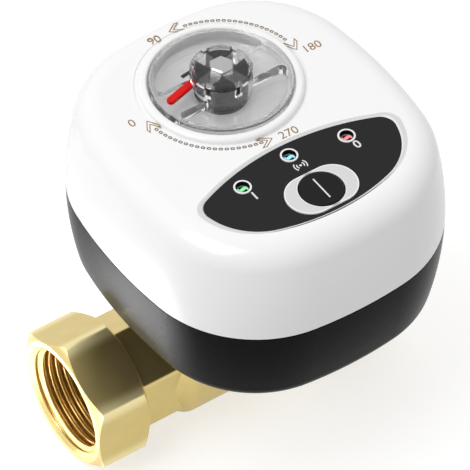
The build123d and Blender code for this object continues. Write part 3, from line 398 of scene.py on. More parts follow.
def clear_plastic(name, colour, roughness, glow="#000000", glow_strength=0.0, clear=1.0,
                  solid=1.0):
    """Resin: clear is the share that light passes, solid the share that isn't plain see-through."""
    material, place = blank_material(name)
    wipes = add(material, "TexNoise", {"Scale": per_metre(WIPE_MM), "Detail": 3.0},
                {"Vector": place})
    polish = add(material, "MapRange",
                 {"To Min": roughness * CLEAN_SHARE, "To Max": roughness * WIPED_SHARE},
                 {"Value": wipes.outputs["Fac"]})
    shader = add(material, "BsdfPrincipled",
                 {"Base Color": linear(colour), "IOR": CLEAR_IOR, "Transmission Weight": clear,
                  "Alpha": solid, "Emission Color": linear(glow),
                  "Emission Strength": glow_strength},
                 {"Roughness": polish.outputs[0]})
    return close_material(material, shader)


clear_polycarbonate = clear_plastic("clear_polycarbonate", "#FFFFFF", 0.015, solid=0.94)
green_lamp = clear_plastic("green_lamp_resin", "#06140A", 0.10, "#0E4A20", 0.05, 0.0)
cyan_lamp = clear_plastic("cyan_lamp_resin", "#061317", 0.10, "#0E4450", 0.05, 0.0)
red_lamp = clear_plastic("red_lamp_resin", "#170608", 0.10, "#4E1216", 0.05, 0.0)
# Glowing colours for the painted glints of the lit dies, which lie on top of the domes.
green_glow = clear_plastic("green_die_painted_glint", "#7FDD97", 0.2, "#6FD88B", 0.55, 0.0)
cyan_glow = clear_plastic("cyan_die_painted_glint", "#8CD6E4", 0.2, "#7CCFE0", 0.55, 0.0)
red_glow = clear_plastic("red_die_painted_glint", "#E88A90", 0.2, "#E0656C", 0.55, 0.0)
print("resins, from", clear_polycarbonate.name, "to", red_glow.name)

# %% [markdown]
# Printed marks are thin ink. The dial's ink is a bronze that lets a little of the white through
# where it is thin, and the panel's ink is plain white.

# %% Inks
BLOT_MM = 0.8


def ink(name, colour, thin_colour):
    """Screen-printed ink: the colour thins towards the second one in small blots."""
    material, place = blank_material(name)
    blots = add(material, "TexNoise", {"Scale": per_metre(BLOT_MM), "Detail": 2.0},
                {"Vector": place})
    tone = add(material, "Mix",
               {MIX_FIRST: linear(colour), MIX_SECOND: linear(thin_colour)},
               {MIX_FACTOR: blots.outputs["Fac"]}, data_type="RGBA")
    shader = add(material, "BsdfPrincipled", {"Roughness": 0.5},
                 {"Base Color": tone.outputs[MIX_RESULT]})
    return close_material(material, shader)


bronze_ink = ink("bronze_dial_ink", "#6E5438", "#B08A5C")
dark_ink = ink("dark_dial_ink", "#4E4136", "#8A7358")
white_ink = ink("white_panel_ink", "#F4F4F4", "#DADADA")
black_ink = ink("black_index_ink", "#101010", "#1C1C1C")
print("inks, from", bronze_ink.name, "to", black_ink.name)

# %% [markdown]
# Each node of the model names a material slot in its record. The table below says which finish
# each slot has, and a loop gives it to every node.

# %% Finish of every node
FINISHES = {
    "cast_brass": forged_brass, "ball_chrome": chrome, "seat_ptfe": seat_ptfe,
    "seal_rubber": nitrile, "stem_steel": stainless, "screw_steel": zinc_steel,
    "white_plastic": white_abs, "black_plastic": black_abs, "plate_steel": plate_steel,
    "bush_bronze": sintered_bronze, "gear_acetal": gear_acetal, "motor_can": motor_can,
    "switch_black": switch_phenolic, "board_green": board_laminate, "radio_shield": shield_tin,
    "terminal_green": terminal_nylon, "panel_black": panel_acrylic, "bezel_white": bezel_abs,
    "surround_grey": grey_trim_and_painted_shade, "button_black": black_button_and_painted_shade, "knob_clear": clear_polycarbonate,
    "hub_dark": hub_acetal, "pointer_red": pointer_abs, "spring_steel": spring_wire,
    "lamp_green": green_lamp, "lamp_cyan": cyan_lamp, "lamp_red": red_lamp,
}
for subpart in frame["record"]["subparts"]:
    node = frame["nodes"][subpart["node"]]
    for material_slot in node.material_slots:
        material_slot.material = FINISHES[subpart["material_slot"]]
print("finishes:", len(FINISHES))

# %% [markdown]
# A new piece is a mesh with its place in its points. It takes a material, and rides on the body
# that it moves with, which for most pieces is the fixed parts.

# %% New pieces
def finished_piece(name, mesh, material, body="fixed_parts"):
    """Gives a mesh its material, and lets it ride on its body, if it has one."""
    mesh.materials.clear()
    mesh.materials.append(material)
    mesh.update()
    piece = put_in_scene(name, mesh)
    if body:
        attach(piece, body)
    return piece


def new_piece(name, points, faces, material, body="fixed_parts"):
    """Makes the mesh, with its place in its points."""
    mesh = bpy.data.meshes.new(name)
    mesh.from_pydata(points.tolist(), [], faces)
    return finished_piece(name, mesh, material, body)


def smooth(piece, angle):
    """Shades faces smooth that meet at less than the angle."""
    piece.data.shade_smooth()
    piece.data.set_sharp_from_angle(angle=math.radians(angle))
    return piece


# %% [markdown]
# New pieces could be put together from Blender's primitives and modifiers. Here they are closed
# surfaces worked out as arrays instead, so that a formula says where each point lies, and real
# sizes go straight into it. Two builders make all but the numbers. A band is a section carried
# round a closed path, so its grid wraps both ways, like a ring. A bar is a row of closed loops
# with a flat cap at each end, like a screw. Both check that the faces point outwards, from the
# sign of the volume that they enclose.

# %% Surface builders
def enclosed_volume(points, quads):
    """Sum over the faces of a third of the dot product of a corner and the face's area vector."""
    a, b, c, d = (points[quads[:, corner]] for corner in range(4))
    area = np.cross(c - a, d - b) / 2
    return float((a * area).sum() / 3)


def wrapped_quads(rings, around, closed):
    """Corners of a grid's faces: ring k joins ring k+1 and column j joins column j+1."""
    rows = rings if closed else rings - 1
    ring, column = np.meshgrid(np.arange(rows), np.arange(around), indexing="ij")
    next_ring, next_column = (ring + 1) % rings, (column + 1) % around
    corners = [ring * around + column, next_ring * around + column,
               next_ring * around + next_column, ring * around + next_column]
    return np.stack(corners, axis=-1).reshape(-1, 4)


def bands(name, loops, material, body="fixed_parts"):
    """Closed rings from an array of copies, section points, steps round and coordinates."""
    copies, rings, around, _ = loops.shape
    quads = wrapped_quads(rings, around, closed=True)
    if enclosed_volume(loops[0].reshape(-1, 3), quads) < 0:
        quads = quads[:, ::-1]
    shifts = np.arange(copies)[:, None, None] * rings * around
    faces = (quads[None] + shifts).reshape(-1, 4).tolist()
    return new_piece(name, loops.reshape(-1, 3), faces, material, body)


def bars(name, loops, material, body="fixed_parts"):
    """Closed bars from an array of copies, loops along the bar, steps round and coordinates."""
    copies, rings, around, _ = loops.shape
    quads = wrapped_quads(rings, around, closed=False)
    near_cap, far_cap = np.arange(around)[::-1], np.arange(around) + (rings - 1) * around
    points = loops[0].reshape(-1, 3)
    if enclosed_volume(points - points.mean(0), quads) < 0:
        quads, near_cap, far_cap = quads[:, ::-1], near_cap[::-1], far_cap[::-1]
    faces = []
    for copy in range(copies):
        first = copy * rings * around
        faces += (quads + first).tolist()
        faces += [(near_cap + first).tolist(), (far_cap + first).tolist()]
    return new_piece(name, loops.reshape(-1, 3), faces, material, body)


# %% [markdown]
# Many sections are circles or other flat loops at some height, which three helpers give.

# %% Flat loops
def at_height(loop, height):
    """A flat loop of x and y, lifted to a height."""
    return np.column_stack([loop, np.full(len(loop), height)])


def circle(x, y, radius, turn):
    """Points of a circle: x + r cos a and y + r sin a."""
    return np.column_stack([x + radius * np.cos(turn), y + radius * np.sin(turn)])


def whole_turn(points):
    """Evenly spaced angles round a circle, without the last one, which would be the first."""
    return np.linspace(0, 2 * math.pi, points, endpoint=False)


# %% [markdown]
# The pipe threads are too fine for the solids. A parallel pipe thread has 14 turns to the inch
# and is two thirds of a pitch deep, with rounded crests and roots. A profile wound along a helix
# would leave open ends at the mouth, so the whole bore is one surface instead. As a function of
# the turn and the place along the bore, the ridge is highest where their difference is a whole
# number of turns. It fades in over the first half turn and out over the last, as a tap leaves
# it. A plain wall just inside the brass closes the surface behind.

# %% Pipe threads
THREAD_PITCH = 25.4 * MM / 14
THREAD_DEPTH = 0.64 * THREAD_PITCH
THREAD_STEPS = 128
STEPS_PER_PITCH = 14
BEDDING = 0.03 * MM
WALL_BEHIND = 4 * BEDDING
CREST_SHARPNESS = 1.35
FADE_IN_TURNS = 0.5
THREAD_SMOOTH_ANGLE = 70


def thread_ridges(name, mouth, inwards, major_radius, length):
    """Radius = bore radius - depth x ridge x fade, and ridge = ((1 + cos phase) / 2) to a power."""
    rows = int(length / THREAD_PITCH * STEPS_PER_PITCH)
    depth_in = np.linspace(0, length, rows)[:, None]
    turn = whole_turn(THREAD_STEPS)[None, :]
    phase = 2 * math.pi * depth_in / THREAD_PITCH - turn * inwards
    ridge = ((1 + np.cos(phase)) / 2) ** CREST_SHARPNESS
    fade_in = np.clip(depth_in / (FADE_IN_TURNS * THREAD_PITCH), 0, 1)
    fade_out = np.clip((length - depth_in) / THREAD_PITCH, 0, 1)
    ridged_radius = major_radius + BEDDING - (THREAD_DEPTH + BEDDING) * ridge * fade_in * fade_out
    wall_radius = np.full((2, THREAD_STEPS), major_radius + WALL_BEHIND)
    radius = np.concatenate([ridged_radius, wall_radius])
    reach = np.concatenate([depth_in, [[length], [0]]])
    station = mouth + inwards * reach * np.ones_like(turn)
    loops = np.stack([station, radius * np.cos(turn), radius * np.sin(turn)], axis=-1)[None]
    return smooth(bands(name, loops, thread_brass), THREAD_SMOOTH_ANGLE)


for mount in frame["record"]["mounts"]:
    inwards = -1 if mount["axis"][0] > 0 else 1
    ridges = thread_ridges(mount["name"].replace("_thread", "_thread_ridges"),
                           mount["pos_m"][0], inwards,
                           mount["dims"]["r_mm"] * MM, mount["dims"]["length_mm"] * MM)
    print(ridges.name, len(ridges.data.vertices), "points")

# %% [markdown]
# The marks could be an image on the cover, but its edges would blur from close by. So ink is
# modelled as a film three hundredths of a millimetre thick. The marks lie on the white cover's
# flat top, a known step above the black panel. A ribbon follows a path of points with a mitred
# corner where the path turns.

# %% Print heights and the ribbon
INK = 0.03 * MM
SINK = 0.02 * MM
PANEL_SINK = 0.35 * MM
panel_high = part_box("control_panel")[1]
button_low, button_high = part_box("power_button")
cover_top = panel_high.z + PANEL_SINK
stem_x = stem.x
print("cover's top at", round(cover_top / MM, 2), "mm")


def on_cover(x_mm, y_mm):
    """A place on the cover, in millimetres from the stem, as metres in the model's frame."""
    return stem_x + x_mm * MM, y_mm * MM


def strip(left, right_side, low, high):
    """The four corner lines of a flat strip between two edge lines, from its foot to its top."""
    corners = [(left, low), (right_side, low), (right_side, high), (left, high)]
    return np.stack([at_height(side, height) for side, height in corners], axis=1)


def ribbons(name, paths, width, top, material, body="fixed_parts", thickness=INK):
    """Flat ribbons along paths of points, with edges half a width off along the mitre."""
    loops = []
    for path in paths:
        steps = np.diff(path, axis=0)
        steps /= np.linalg.norm(steps, axis=1, keepdims=True)
        before = np.vstack([steps[:1], steps])
        after = np.vstack([steps, steps[-1:]])
        along = before + after
        along /= np.linalg.norm(along, axis=1, keepdims=True)
        mitre = np.stack([-along[:, 1], along[:, 0]], axis=1)
        square = np.stack([-after[:, 1], after[:, 0]], axis=1)
        stretch = width / 2 / np.einsum("ij,ij->i", mitre, square)
        aside = mitre * stretch[:, None]
        loops.append(strip(path + aside, path - aside, top - SINK, top + thickness))
    return bars(name, np.stack(loops), material, body)


# %% [markdown]
# Round the dial run two quarter circles of small hollow dots, each ending in open arrowheads
# that point at a number. The dots are copies of one small rounded frame, a superellipse with a
# smaller one cut from it, turned to follow the circle. A rounded rectangle would look the same,
# but it takes four lines and four arcs, where a superellipse is one formula.

# %% Dotted arcs
DIAL_RADIUS = 19.85 * MM
DOT_PITCH = 1.27 * MM
DOT_LENGTH, DOT_WIDTH, DOT_WALL = 0.94 * MM, 0.74 * MM, 0.23 * MM
DOT_POINTS = 16
ARC_DEGREES = [(10.5, 79.5), (190.5, 261.5)]


def rounded_loop(half_length, half_width, points, power=4):
    """Superellipse: |x/a|^n + |y/b|^n = 1, walked by angle."""
    angle = whole_turn(points)
    cosine, sine = np.cos(angle), np.sin(angle)
    reach = (np.abs(cosine) ** power + np.abs(sine) ** power) ** (-1 / power)
    return np.stack([half_length * cosine * reach, half_width * sine * reach], axis=1)


def dial_dots():
    """Frames at even bearings: x and y turn with the bearing, along it and across it."""
    bearings = []
    for start, end in ARC_DEGREES:
        count = round(math.radians(end - start) * DIAL_RADIUS / DOT_PITCH) + 1
        bearings.append(np.radians(np.linspace(start, end, count)))
    bearings = np.concatenate(bearings)[:, None]
    outer = rounded_loop(DOT_LENGTH / 2, DOT_WIDTH / 2, DOT_POINTS)
    inner = rounded_loop(DOT_LENGTH / 2 - DOT_WALL, DOT_WIDTH / 2 - DOT_WALL, DOT_POINTS)
    loops = []
    for loop, height in ((outer, -SINK), (outer, INK), (inner, INK), (inner, -SINK)):
        along, across = loop[:, 0][None], loop[:, 1][None]
        x = stem_x + (DIAL_RADIUS + across) * np.cos(bearings) - along * np.sin(bearings)
        y = (DIAL_RADIUS + across) * np.sin(bearings) + along * np.cos(bearings)
        loops.append(np.stack([x, y, np.full_like(x, cover_top + height)], axis=-1))
    return bands("dial_dots", np.stack(loops, axis=1), dark_ink)


print("dots:", len(dial_dots().data.polygons) // (4 * DOT_POINTS))

# %% [markdown]
# The arrowheads are chevrons drawn as an outline. One outline serves all four: it is written once
# in millimetres, with its tip at the start, and laid along the dial's circle at each tip's
# bearing. A ribbon can't close on itself, so each arrowhead is two ribbons, an arm each.

# %% Arrowheads
ARROW_TIPS = [(91.3, 1), (-1.7, -1), (181.0, -1), (269.3, 1)]
ARROW_LINE = 0.21 * MM
CHEVRON_MM = [(0, 0), (-2.3, 1.50), (-3.2, 1.35), (-1.15, 0),
              (-3.2, -1.35), (-2.3, -1.50), (0, 0)]
CHEVRON_ARMS = [slice(0, 4), slice(3, 7)]


def arrowhead(bearing, sense):
    """Outline of a hollow chevron, drawn along the circle with its tip at the bearing."""
    around = math.radians(bearing)
    heading = around + sense * math.pi / 2
    tip = np.array([stem_x + DIAL_RADIUS * math.cos(around), DIAL_RADIUS * math.sin(around)])
    along = np.array([math.cos(heading), math.sin(heading)])
    across = np.array([-along[1], along[0]])
    outline = np.array(CHEVRON_MM) * MM
    return tip + outline[:, :1] * along + outline[:, 1:] * across


arrow_paths = [arrowhead(bearing, sense)[arm] for bearing, sense in ARROW_TIPS
               for arm in CHEVRON_ARMS]
ribbons("dial_arrows", arrow_paths, ARROW_LINE, cover_top, bronze_ink)
print("arrowheads:", len(ARROW_TIPS))

# %% [markdown]
# The numbers are text, because the font that comes with Blender has good digits already. Each is
# made into a mesh, measured and scaled to its height, so that the font's own units don't matter.
# The dial carries plain degrees, a quarter turn apart.

# %% Numbers
DIGIT_HEIGHT = 2.2 * MM
DIAL_NUMBERS = [("90", -4.6, 19.6), ("0", -22.9, 1.0), ("180", 23.4, -1.6), ("270", 3.7, -20.4)]
BASELINE_TURN = math.radians(-3.0)
PANEL_NUMBERS = [("1", -12.9, -31.5), ("0", 14.2, -31.3)]
PANEL_DIGIT_HEIGHT = 2.3 * MM
PANEL_BOLDNESS = 0.015
DRAFT_THICKNESS = 0.5


def number(name, words, middle, height, top, material, turn=BASELINE_TURN, boldness=0.0):
    """Text laid flat: scaled so that its height is right, centred, turned and moved. Points above
    the draft's middle plane go to the ink's top and the others to its foot."""
    curve = bpy.data.curves.new(name, "FONT")
    curve.body = words
    curve.offset = boldness
    curve.extrude = DRAFT_THICKNESS
    draft = put_in_scene(name, curve)
    evaluated = draft.evaluated_get(bpy.context.evaluated_depsgraph_get())
    mesh = bpy.data.meshes.new_from_object(evaluated)
    bpy.data.objects.remove(draft)
    points = np.empty(len(mesh.vertices) * 3, np.float32)
    mesh.vertices.foreach_get("co", points)
    points = points.reshape(-1, 3)
    low, high = points.min(0), points.max(0)
    flat = (points[:, :2] - (low + high)[:2] / 2) * height / (high[1] - low[1])
    c, s = math.cos(turn), math.sin(turn)
    placed = np.column_stack([
        middle[0] + c * flat[:, 0] - s * flat[:, 1],
        middle[1] + s * flat[:, 0] + c * flat[:, 1],
        top + np.where(points[:, 2] > 0, INK, -SINK),
    ])
    mesh.vertices.foreach_set("co", placed.astype(np.float32).ravel())
    return finished_piece(name, mesh, material)


for index, (words, x, y) in enumerate(DIAL_NUMBERS):
    number(f"dial_number_{index}", words, on_cover(x, y), DIGIT_HEIGHT, cover_top,
           bronze_ink)
for index, (words, x, y) in enumerate(PANEL_NUMBERS):
    number(f"panel_number_{index}", words, on_cover(x, y), PANEL_DIGIT_HEIGHT, panel_high.z,
           white_ink, turn=0.0, boldness=PANEL_BOLDNESS)
print("numbers:", [words for words, _, _ in DIAL_NUMBERS + PANEL_NUMBERS])

# %% [markdown]
# Between the lamps and the button a plain wireless sign is printed: a dot with two arcs on each
# side. The arcs are ribbons along circles, and the bar on the button is a straight one.

# %% Signs on the panel
SIGN_MIDDLE = (0.4, -29.7)
SIGN_LINE = 0.28 * MM
SIGN_RADII = [0.85 * MM, 1.5 * MM]
SIGN_SPREAD = math.radians(42)
SIGN_ARC_POINTS = 15
SIGN_DOT_RADIUS, SIGN_DOT_POINTS = 0.3 * MM, 24
BAR_HALF_LENGTH = 3.2 * MM
BAR_WIDTH = 0.34 * MM


def middle_of(node):
    """Middle of a node's box, seen from above."""
    low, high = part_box(node)
    return (low.x + high.x) / 2, (low.y + high.y) / 2


sign_x, sign_y = on_cover(*SIGN_MIDDLE)
sign_sweep = np.linspace(-SIGN_SPREAD, SIGN_SPREAD, SIGN_ARC_POINTS)
sign_arcs = [circle(sign_x, sign_y, radius, sign_sweep + side)
             for radius in SIGN_RADII for side in (0, math.pi)]
ribbons("wireless_arcs", sign_arcs, SIGN_LINE, panel_high.z, white_ink)
sign_dot = circle(sign_x, sign_y, SIGN_DOT_RADIUS, whole_turn(SIGN_DOT_POINTS))
dot_loops = [at_height(sign_dot, panel_high.z + height) for height in (-SINK, INK)]
bars("wireless_dot", np.stack(dot_loops)[None], white_ink)

button_middle = middle_of("power_button")
bar_path = np.array([[button_middle[0], button_middle[1] + end * BAR_HALF_LENGTH]
                     for end in (1, -1)])
ribbons("button_bar", [bar_path], BAR_WIDTH, button_high.z, white_ink, "button")
print("sign arcs:", len(sign_arcs))

# %% [markdown]
# The grey trim round the button has a thin white line along both its edges: a circle at the
# button, and outside a stadium, which is a circle stretched by a straight length at the middle.

# %% Lines on the trim
RING_WIDTH = 0.28 * MM
ROUND_POINTS = 96
BUTTON_RIM = 0.5 * MM
surround_low, surround_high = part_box("button_surround")
button_hole = (button_high.x - button_low.x) / 2 - BUTTON_RIM
stadium_end = (surround_high.y - surround_low.y) / 2
stadium_straight = (surround_high.x - surround_low.x) / 2 - stadium_end


def stadium_band(name, middle, inner, outer, straight, low, high, turn, material):
    """Band round a stadium: circles whose points move out by the straight length along X."""
    end = middle[0] + straight * np.sign(np.cos(turn))
    rings = [at_height(circle(end, middle[1], radius, turn), height)
             for radius, height in ((inner, low), (outer, low), (outer, high), (inner, high))]
    return bands(name, np.stack(rings)[None], material)


trim_turn = (np.arange(ROUND_POINTS) + 0.5) * 2 * math.pi / ROUND_POINTS
stadium_band("button_ring", button_middle, button_hole, button_hole + RING_WIDTH, 0,
             surround_high.z - SINK, surround_high.z + INK, trim_turn,
             white_ink)
stadium_band("surround_edge", button_middle, stadium_end - RING_WIDTH, stadium_end + SINK,
             stadium_straight, surround_low.z, surround_high.z + INK, trim_turn,
             bezel_abs)
print("trim:", round(2 * (stadium_end + stadium_straight) / MM, 1), "mm long")

# %% [markdown]
# The panel lies in a recess whose sloping rim is painted light grey: painted shade on the white
# cover, wider at the panel's two ends. The rim could be drawn from the panel's sizes again, but
# then it would part from the panel if that changed. So it follows the panel's own outline, read
# from its node: the convex outline of its top, walked at even steps. Moving each point along its
# outward normal offsets the outline.

# %% Panel rim
OUTLINE_POINTS = 240
OUTLINE_BEARINGS = 1440
LINE_START, LINE_END = 0.02 * MM, 0.35 * MM
CRESCENT_LEAST, CRESCENT_MOST = 0.14 * MM, 1.15 * MM
CRESCENT_POWER = 1.5
RIM_FILM = 0.03 * MM
EDGE_SMOOTH_ANGLE = 30


def outline_of(node):
    """Outline of a node's top: the point that reaches furthest along each bearing, in order,
    then spaced evenly by length."""
    points = np.empty(len(frame["nodes"][node].data.vertices) * 3, np.float32)
    frame["nodes"][node].data.vertices.foreach_get("co", points)
    points = points.reshape(-1, 3).astype(float)
    top = points[points[:, 2] > points[:, 2].max() - SINK][:, :2]
    bearing = whole_turn(OUTLINE_BEARINGS)
    furthest = (top @ np.stack([np.cos(bearing), np.sin(bearing)])).argmax(axis=0)
    hull = top[furthest[furthest != np.roll(furthest, 1)]]
    hull = np.vstack([hull, hull[:1]])
    steps = np.linalg.norm(np.diff(hull, axis=0), axis=1)
    travelled = np.concatenate([[0], np.cumsum(steps)])
    stations = np.linspace(0, travelled[-1], OUTLINE_POINTS, endpoint=False)
    return np.column_stack([np.interp(stations, travelled, hull[:, axis])
                            for axis in (0, 1)])


def outward(loop):
    """Unit normals of a closed counter-clockwise loop, softened over the neighbouring steps."""
    along = np.roll(loop, -2, axis=0) - np.roll(loop, 2, axis=0)
    along /= np.linalg.norm(along, axis=1, keepdims=True)
    return np.column_stack([along[:, 1], -along[:, 0]])


def rim_band(name, section, material):
    """A band round the panel: each section point is a reach along the normal and a height."""
    loops = [at_height(panel_loop + panel_normals * reach, cover_top + height)
             for reach, height in section]
    return smooth(bands(name, np.stack(loops)[None], material), EDGE_SMOOTH_ANGLE)


panel_loop = outline_of("control_panel")
panel_normals = outward(panel_loop)
end_share = np.abs(panel_normals[:, :1]) ** CRESCENT_POWER
crescent = LINE_END + CRESCENT_LEAST + (CRESCENT_MOST - CRESCENT_LEAST) * end_share
rim_band("panel_line", [(LINE_START, -PANEL_SINK - INK), (LINE_START, -PANEL_SINK + INK),
                        (LINE_END, 0.0), (LINE_END, -2 * INK)], bezel_abs)
# The grey crescents are painted shade on the cover's sloping rim.
rim_band("panel_painted_shade", [(LINE_END, -2 * INK), (LINE_END, 0.0), (crescent, RIM_FILM),
                             (crescent, -RIM_FILM)], grey_trim_and_painted_shade)
print("panel outline", round(float(np.ptp(panel_loop[:, 0])) / MM, 1), "mm wide")

# %% [markdown]
# Inside each white ring is a short black sleeve: painted shade on the hole's inner wall. It is the
# same band as the ring on the trim, only taller.

# %% Painted shade in the lamp rings
SLEEVE_RADIUS, SLEEVE_WALL, SLEEVE_DEPTH = 1.6 * MM, 0.1 * MM, 1.2 * MM
SLEEVE_POINTS = 48
bezel_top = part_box("lamp_bezels")[1].z
# Black sleeves: painted shade inside the white rings.
for lamp in ("left_lamp", "middle_lamp", "right_lamp"):
    smooth(stadium_band(lamp + "_shade_sleeve", middle_of(lamp), SLEEVE_RADIUS - SLEEVE_WALL,
                        SLEEVE_RADIUS + SINK, 0, bezel_top - SLEEVE_DEPTH, bezel_top - SINK,
                        whole_turn(SLEEVE_POINTS), black_button_and_painted_shade),
           EDGE_SMOOTH_ANGLE)
print("sleeves up to", round(bezel_top / MM, 2), "mm")

# %% [markdown]
# Each lamp is a dark resin dome over a tiny lit die. Through it the die and its mirror show as
# one curl of light, which is painted on each dome as a glowing glint: a wave of one period whose
# ribbon narrows to a tenth of its width at both ends.

# %% Painted glints of the lit dies
CURL_HALF_LENGTH, CURL_SWING, CURL_WIDTH = 1.2 * MM, 0.5 * MM, 0.8 * MM
CURL_STEPS = 25
CURL_TIP_SHARE = 0.1
CURL_THICKNESS = 2 * INK
CURL_SHIFT = (0.0, -0.1 * MM)
CURL_TURN = math.radians(-38)


def curl_of_light(name, lamp, material):
    """Along t from -1 to 1: x = length x t, y = swing x sin(pi t), width as a half ellipse."""
    t = np.linspace(-1, 1, CURL_STEPS)
    middle = np.column_stack([CURL_HALF_LENGTH * t, CURL_SWING * np.sin(math.pi * t)])
    slope = np.column_stack([np.full(CURL_STEPS, CURL_HALF_LENGTH),
                             CURL_SWING * math.pi * np.cos(math.pi * t)])
    slope /= np.linalg.norm(slope, axis=1, keepdims=True)
    half = (CURL_WIDTH / 2 * np.sqrt(np.clip(1 - t ** 2, CURL_TIP_SHARE ** 2, 1)))[:, None]
    side = np.column_stack([-slope[:, 1], slope[:, 0]]) * half
    c, s = math.cos(CURL_TURN), math.sin(CURL_TURN)
    place = np.array(middle_of(lamp)) + CURL_SHIFT
    left, right_side = (edge @ np.array([[c, s], [-s, c]]) + place
                        for edge in (middle + side, middle - side))
    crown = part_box(lamp)[1].z
    loops = strip(left, right_side, crown - SINK, crown + CURL_THICKNESS)
    return bars(name, loops[None], material)


# Each dome gets its painted glint of the lit die.
for lamp, material, slot in (("left_lamp", green_glow, "lamp_green"),
                             ("middle_lamp", cyan_glow, "lamp_cyan"),
                             ("right_lamp", red_glow, "lamp_red")):
    curl = curl_of_light(lamp + "_glow", lamp, material)
    print(curl.name, "of", material.name)

# %% [markdown]
# Beside the red pointer the knob carries a short black index mark. It is ink on the knob's top,
# so it rides with the knob.

# %% Index mark
INDEX_ENDS = [(-7.0, 5.15), (-3.6, 5.6)]
INDEX_WIDTH = 0.9 * MM
INDEX_THICKNESS = 3 * INK
knob_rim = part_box("pointer")[0].z
index_path = np.array([on_cover(*end) for end in INDEX_ENDS])
ribbons("index_mark", [index_path], INDEX_WIDTH, knob_rim, black_ink, "knob",
        INDEX_THICKNESS)
print("index mark at", round(knob_rim / MM, 2), "mm")

# %% [markdown]
# The four screws under the flange are socket screws with their heads down. A boolean could cut
# the sockets from plain heads, but it leaves uneven faces, which shade badly. So each screw is a
# row of loops from the bottom of its hexagon socket, out of it, over the head and up the shank.
# The socket's loops are hexagons and the rest circles, with as many points, so one grid holds
# them.

# %% Mounting screws
SOCKET_FLATS = 2.5 * MM
SOCKET_DEPTH = 1.3 * MM
HEAD_RADIUS, HEAD_HEIGHT, SHANK_RADIUS = 2.6 * MM, 2.4 * MM, 1.5 * MM
HEAD_EDGE = 0.25 * MM
SCREW_POINTS = 48
screws_low, screws_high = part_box("mounting_screws")


def hexagon_radius(turn, flats):
    """Distance from the middle to a hexagon's side, for each bearing."""
    return flats / 2 / np.cos((turn + math.pi / 6) % (math.pi / 3) - math.pi / 6)


def socket_screws(name, places, low, high):
    """Loops out of the socket, over the head and up the shank: radius by bearing, and height."""
    turn = whole_turn(SCREW_POINTS)
    hexagon = hexagon_radius(turn, SOCKET_FLATS)
    whole = np.ones(SCREW_POINTS)
    section = [
        (hexagon, low + SOCKET_DEPTH),
        (hexagon, low + HEAD_EDGE / 2),
        (hexagon + HEAD_EDGE / 2, low),
        (whole * (HEAD_RADIUS - HEAD_EDGE), low),
        (whole * HEAD_RADIUS, low + HEAD_EDGE),
        (whole * HEAD_RADIUS, low + HEAD_HEIGHT),
        (whole * SHANK_RADIUS, low + HEAD_HEIGHT),
        (whole * SHANK_RADIUS, high),
    ]
    loops = [[at_height(circle(x, y, radius, turn), height) for radius, height in section]
             for x, y in places]
    return smooth(bars(name, np.array(loops), zinc_steel), EDGE_SMOOTH_ANGLE)


screw_reach = screws_high.y - HEAD_RADIUS
screw_places = [(stem_x + side * screw_reach, end * screw_reach)
                for side in (-1, 1) for end in (-1, 1)]
socket_heads = socket_screws("socket_screws", screw_places, screws_low.z, screws_high.z)
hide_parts("mounting_screws")
print("screws:", len(screw_places))

# %% [markdown]
# Under the knob's hub a coil spring pushes the hub up again after a press. A solid spring can't
# shorten, so this one replaces it: a wire carried along a helix. The wire is a little thinner
# than the solid's, so that the turns don't run into each other.

# %% Return spring
SPRING_TURNS, STEPS_PER_TURN = 4, 64
WIRE_RADIUS, WIRE_POINTS = 0.32 * MM, 12
WIRE_SMOOTH_ANGLE = 60
spring_low, spring_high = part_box("knob_spring")


def coil(name, low, high):
    """Helix: R cos a, R sin a, z rising evenly with a, and a circle across its tangent."""
    reach = (high.x - low.x) / 2 - WIRE_RADIUS
    rise = high.z - low.z - 2 * WIRE_RADIUS
    share = np.linspace(0, 1, SPRING_TURNS * STEPS_PER_TURN)
    turn = 2 * math.pi * SPRING_TURNS * share
    middle = np.stack([stem_x + reach * np.cos(turn), reach * np.sin(turn),
                       low.z + WIRE_RADIUS + rise * share], axis=1)
    outwards = np.stack([np.cos(turn), np.sin(turn), np.zeros_like(turn)], axis=1)
    climb = rise / (2 * math.pi * SPRING_TURNS)
    tangent = np.stack([-reach * np.sin(turn), reach * np.cos(turn), np.full_like(turn, climb)],
                       axis=1)
    tangent /= np.linalg.norm(tangent, axis=1, keepdims=True)
    across = np.cross(tangent, outwards)
    around = whole_turn(WIRE_POINTS)[None, :, None]
    wire = WIRE_RADIUS * (np.cos(around) * outwards[:, None] + np.sin(around) * across[:, None])
    loops = (middle[:, None] + wire)[None]
    return smooth(bars(name, loops, spring_wire, None), WIRE_SMOOTH_ANGLE)


spring_coil = coil("spring_coil", spring_low, spring_high)
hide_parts("knob_spring")
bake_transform(spring_coil)
print("spring", round((spring_high.z - spring_low.z) / MM, 2), "mm long")

# %% [markdown]
# The valve stands on a plain pale floor. The camera, also through the clear knob, sees the paper
# with a glow that brings it to white but keeps the shadow, while its light on the object stays
# at a plain level. Mirrors see some of that glow too. From below the paper is clear, so that the
# underside can be looked at.

# %% Floor
FLOOR_HALF_SIZE = 6.0
PAPER_COLOUR = "#CCCCCC"
CAMERA_GLOW = 0.60
MIRROR_GLOW = 0.42
floor_height = solid_bounds[0][2]
floor_mesh = bpy.data.meshes.new("floor")
floor_mesh.from_pydata([(x * FLOOR_HALF_SIZE, y * FLOOR_HALF_SIZE, floor_height)
                        for x, y in ((-1, -1), (1, -1), (1, 1), (-1, 1))], [], [(0, 1, 2, 3)])
floor = put_in_scene("floor", floor_mesh)

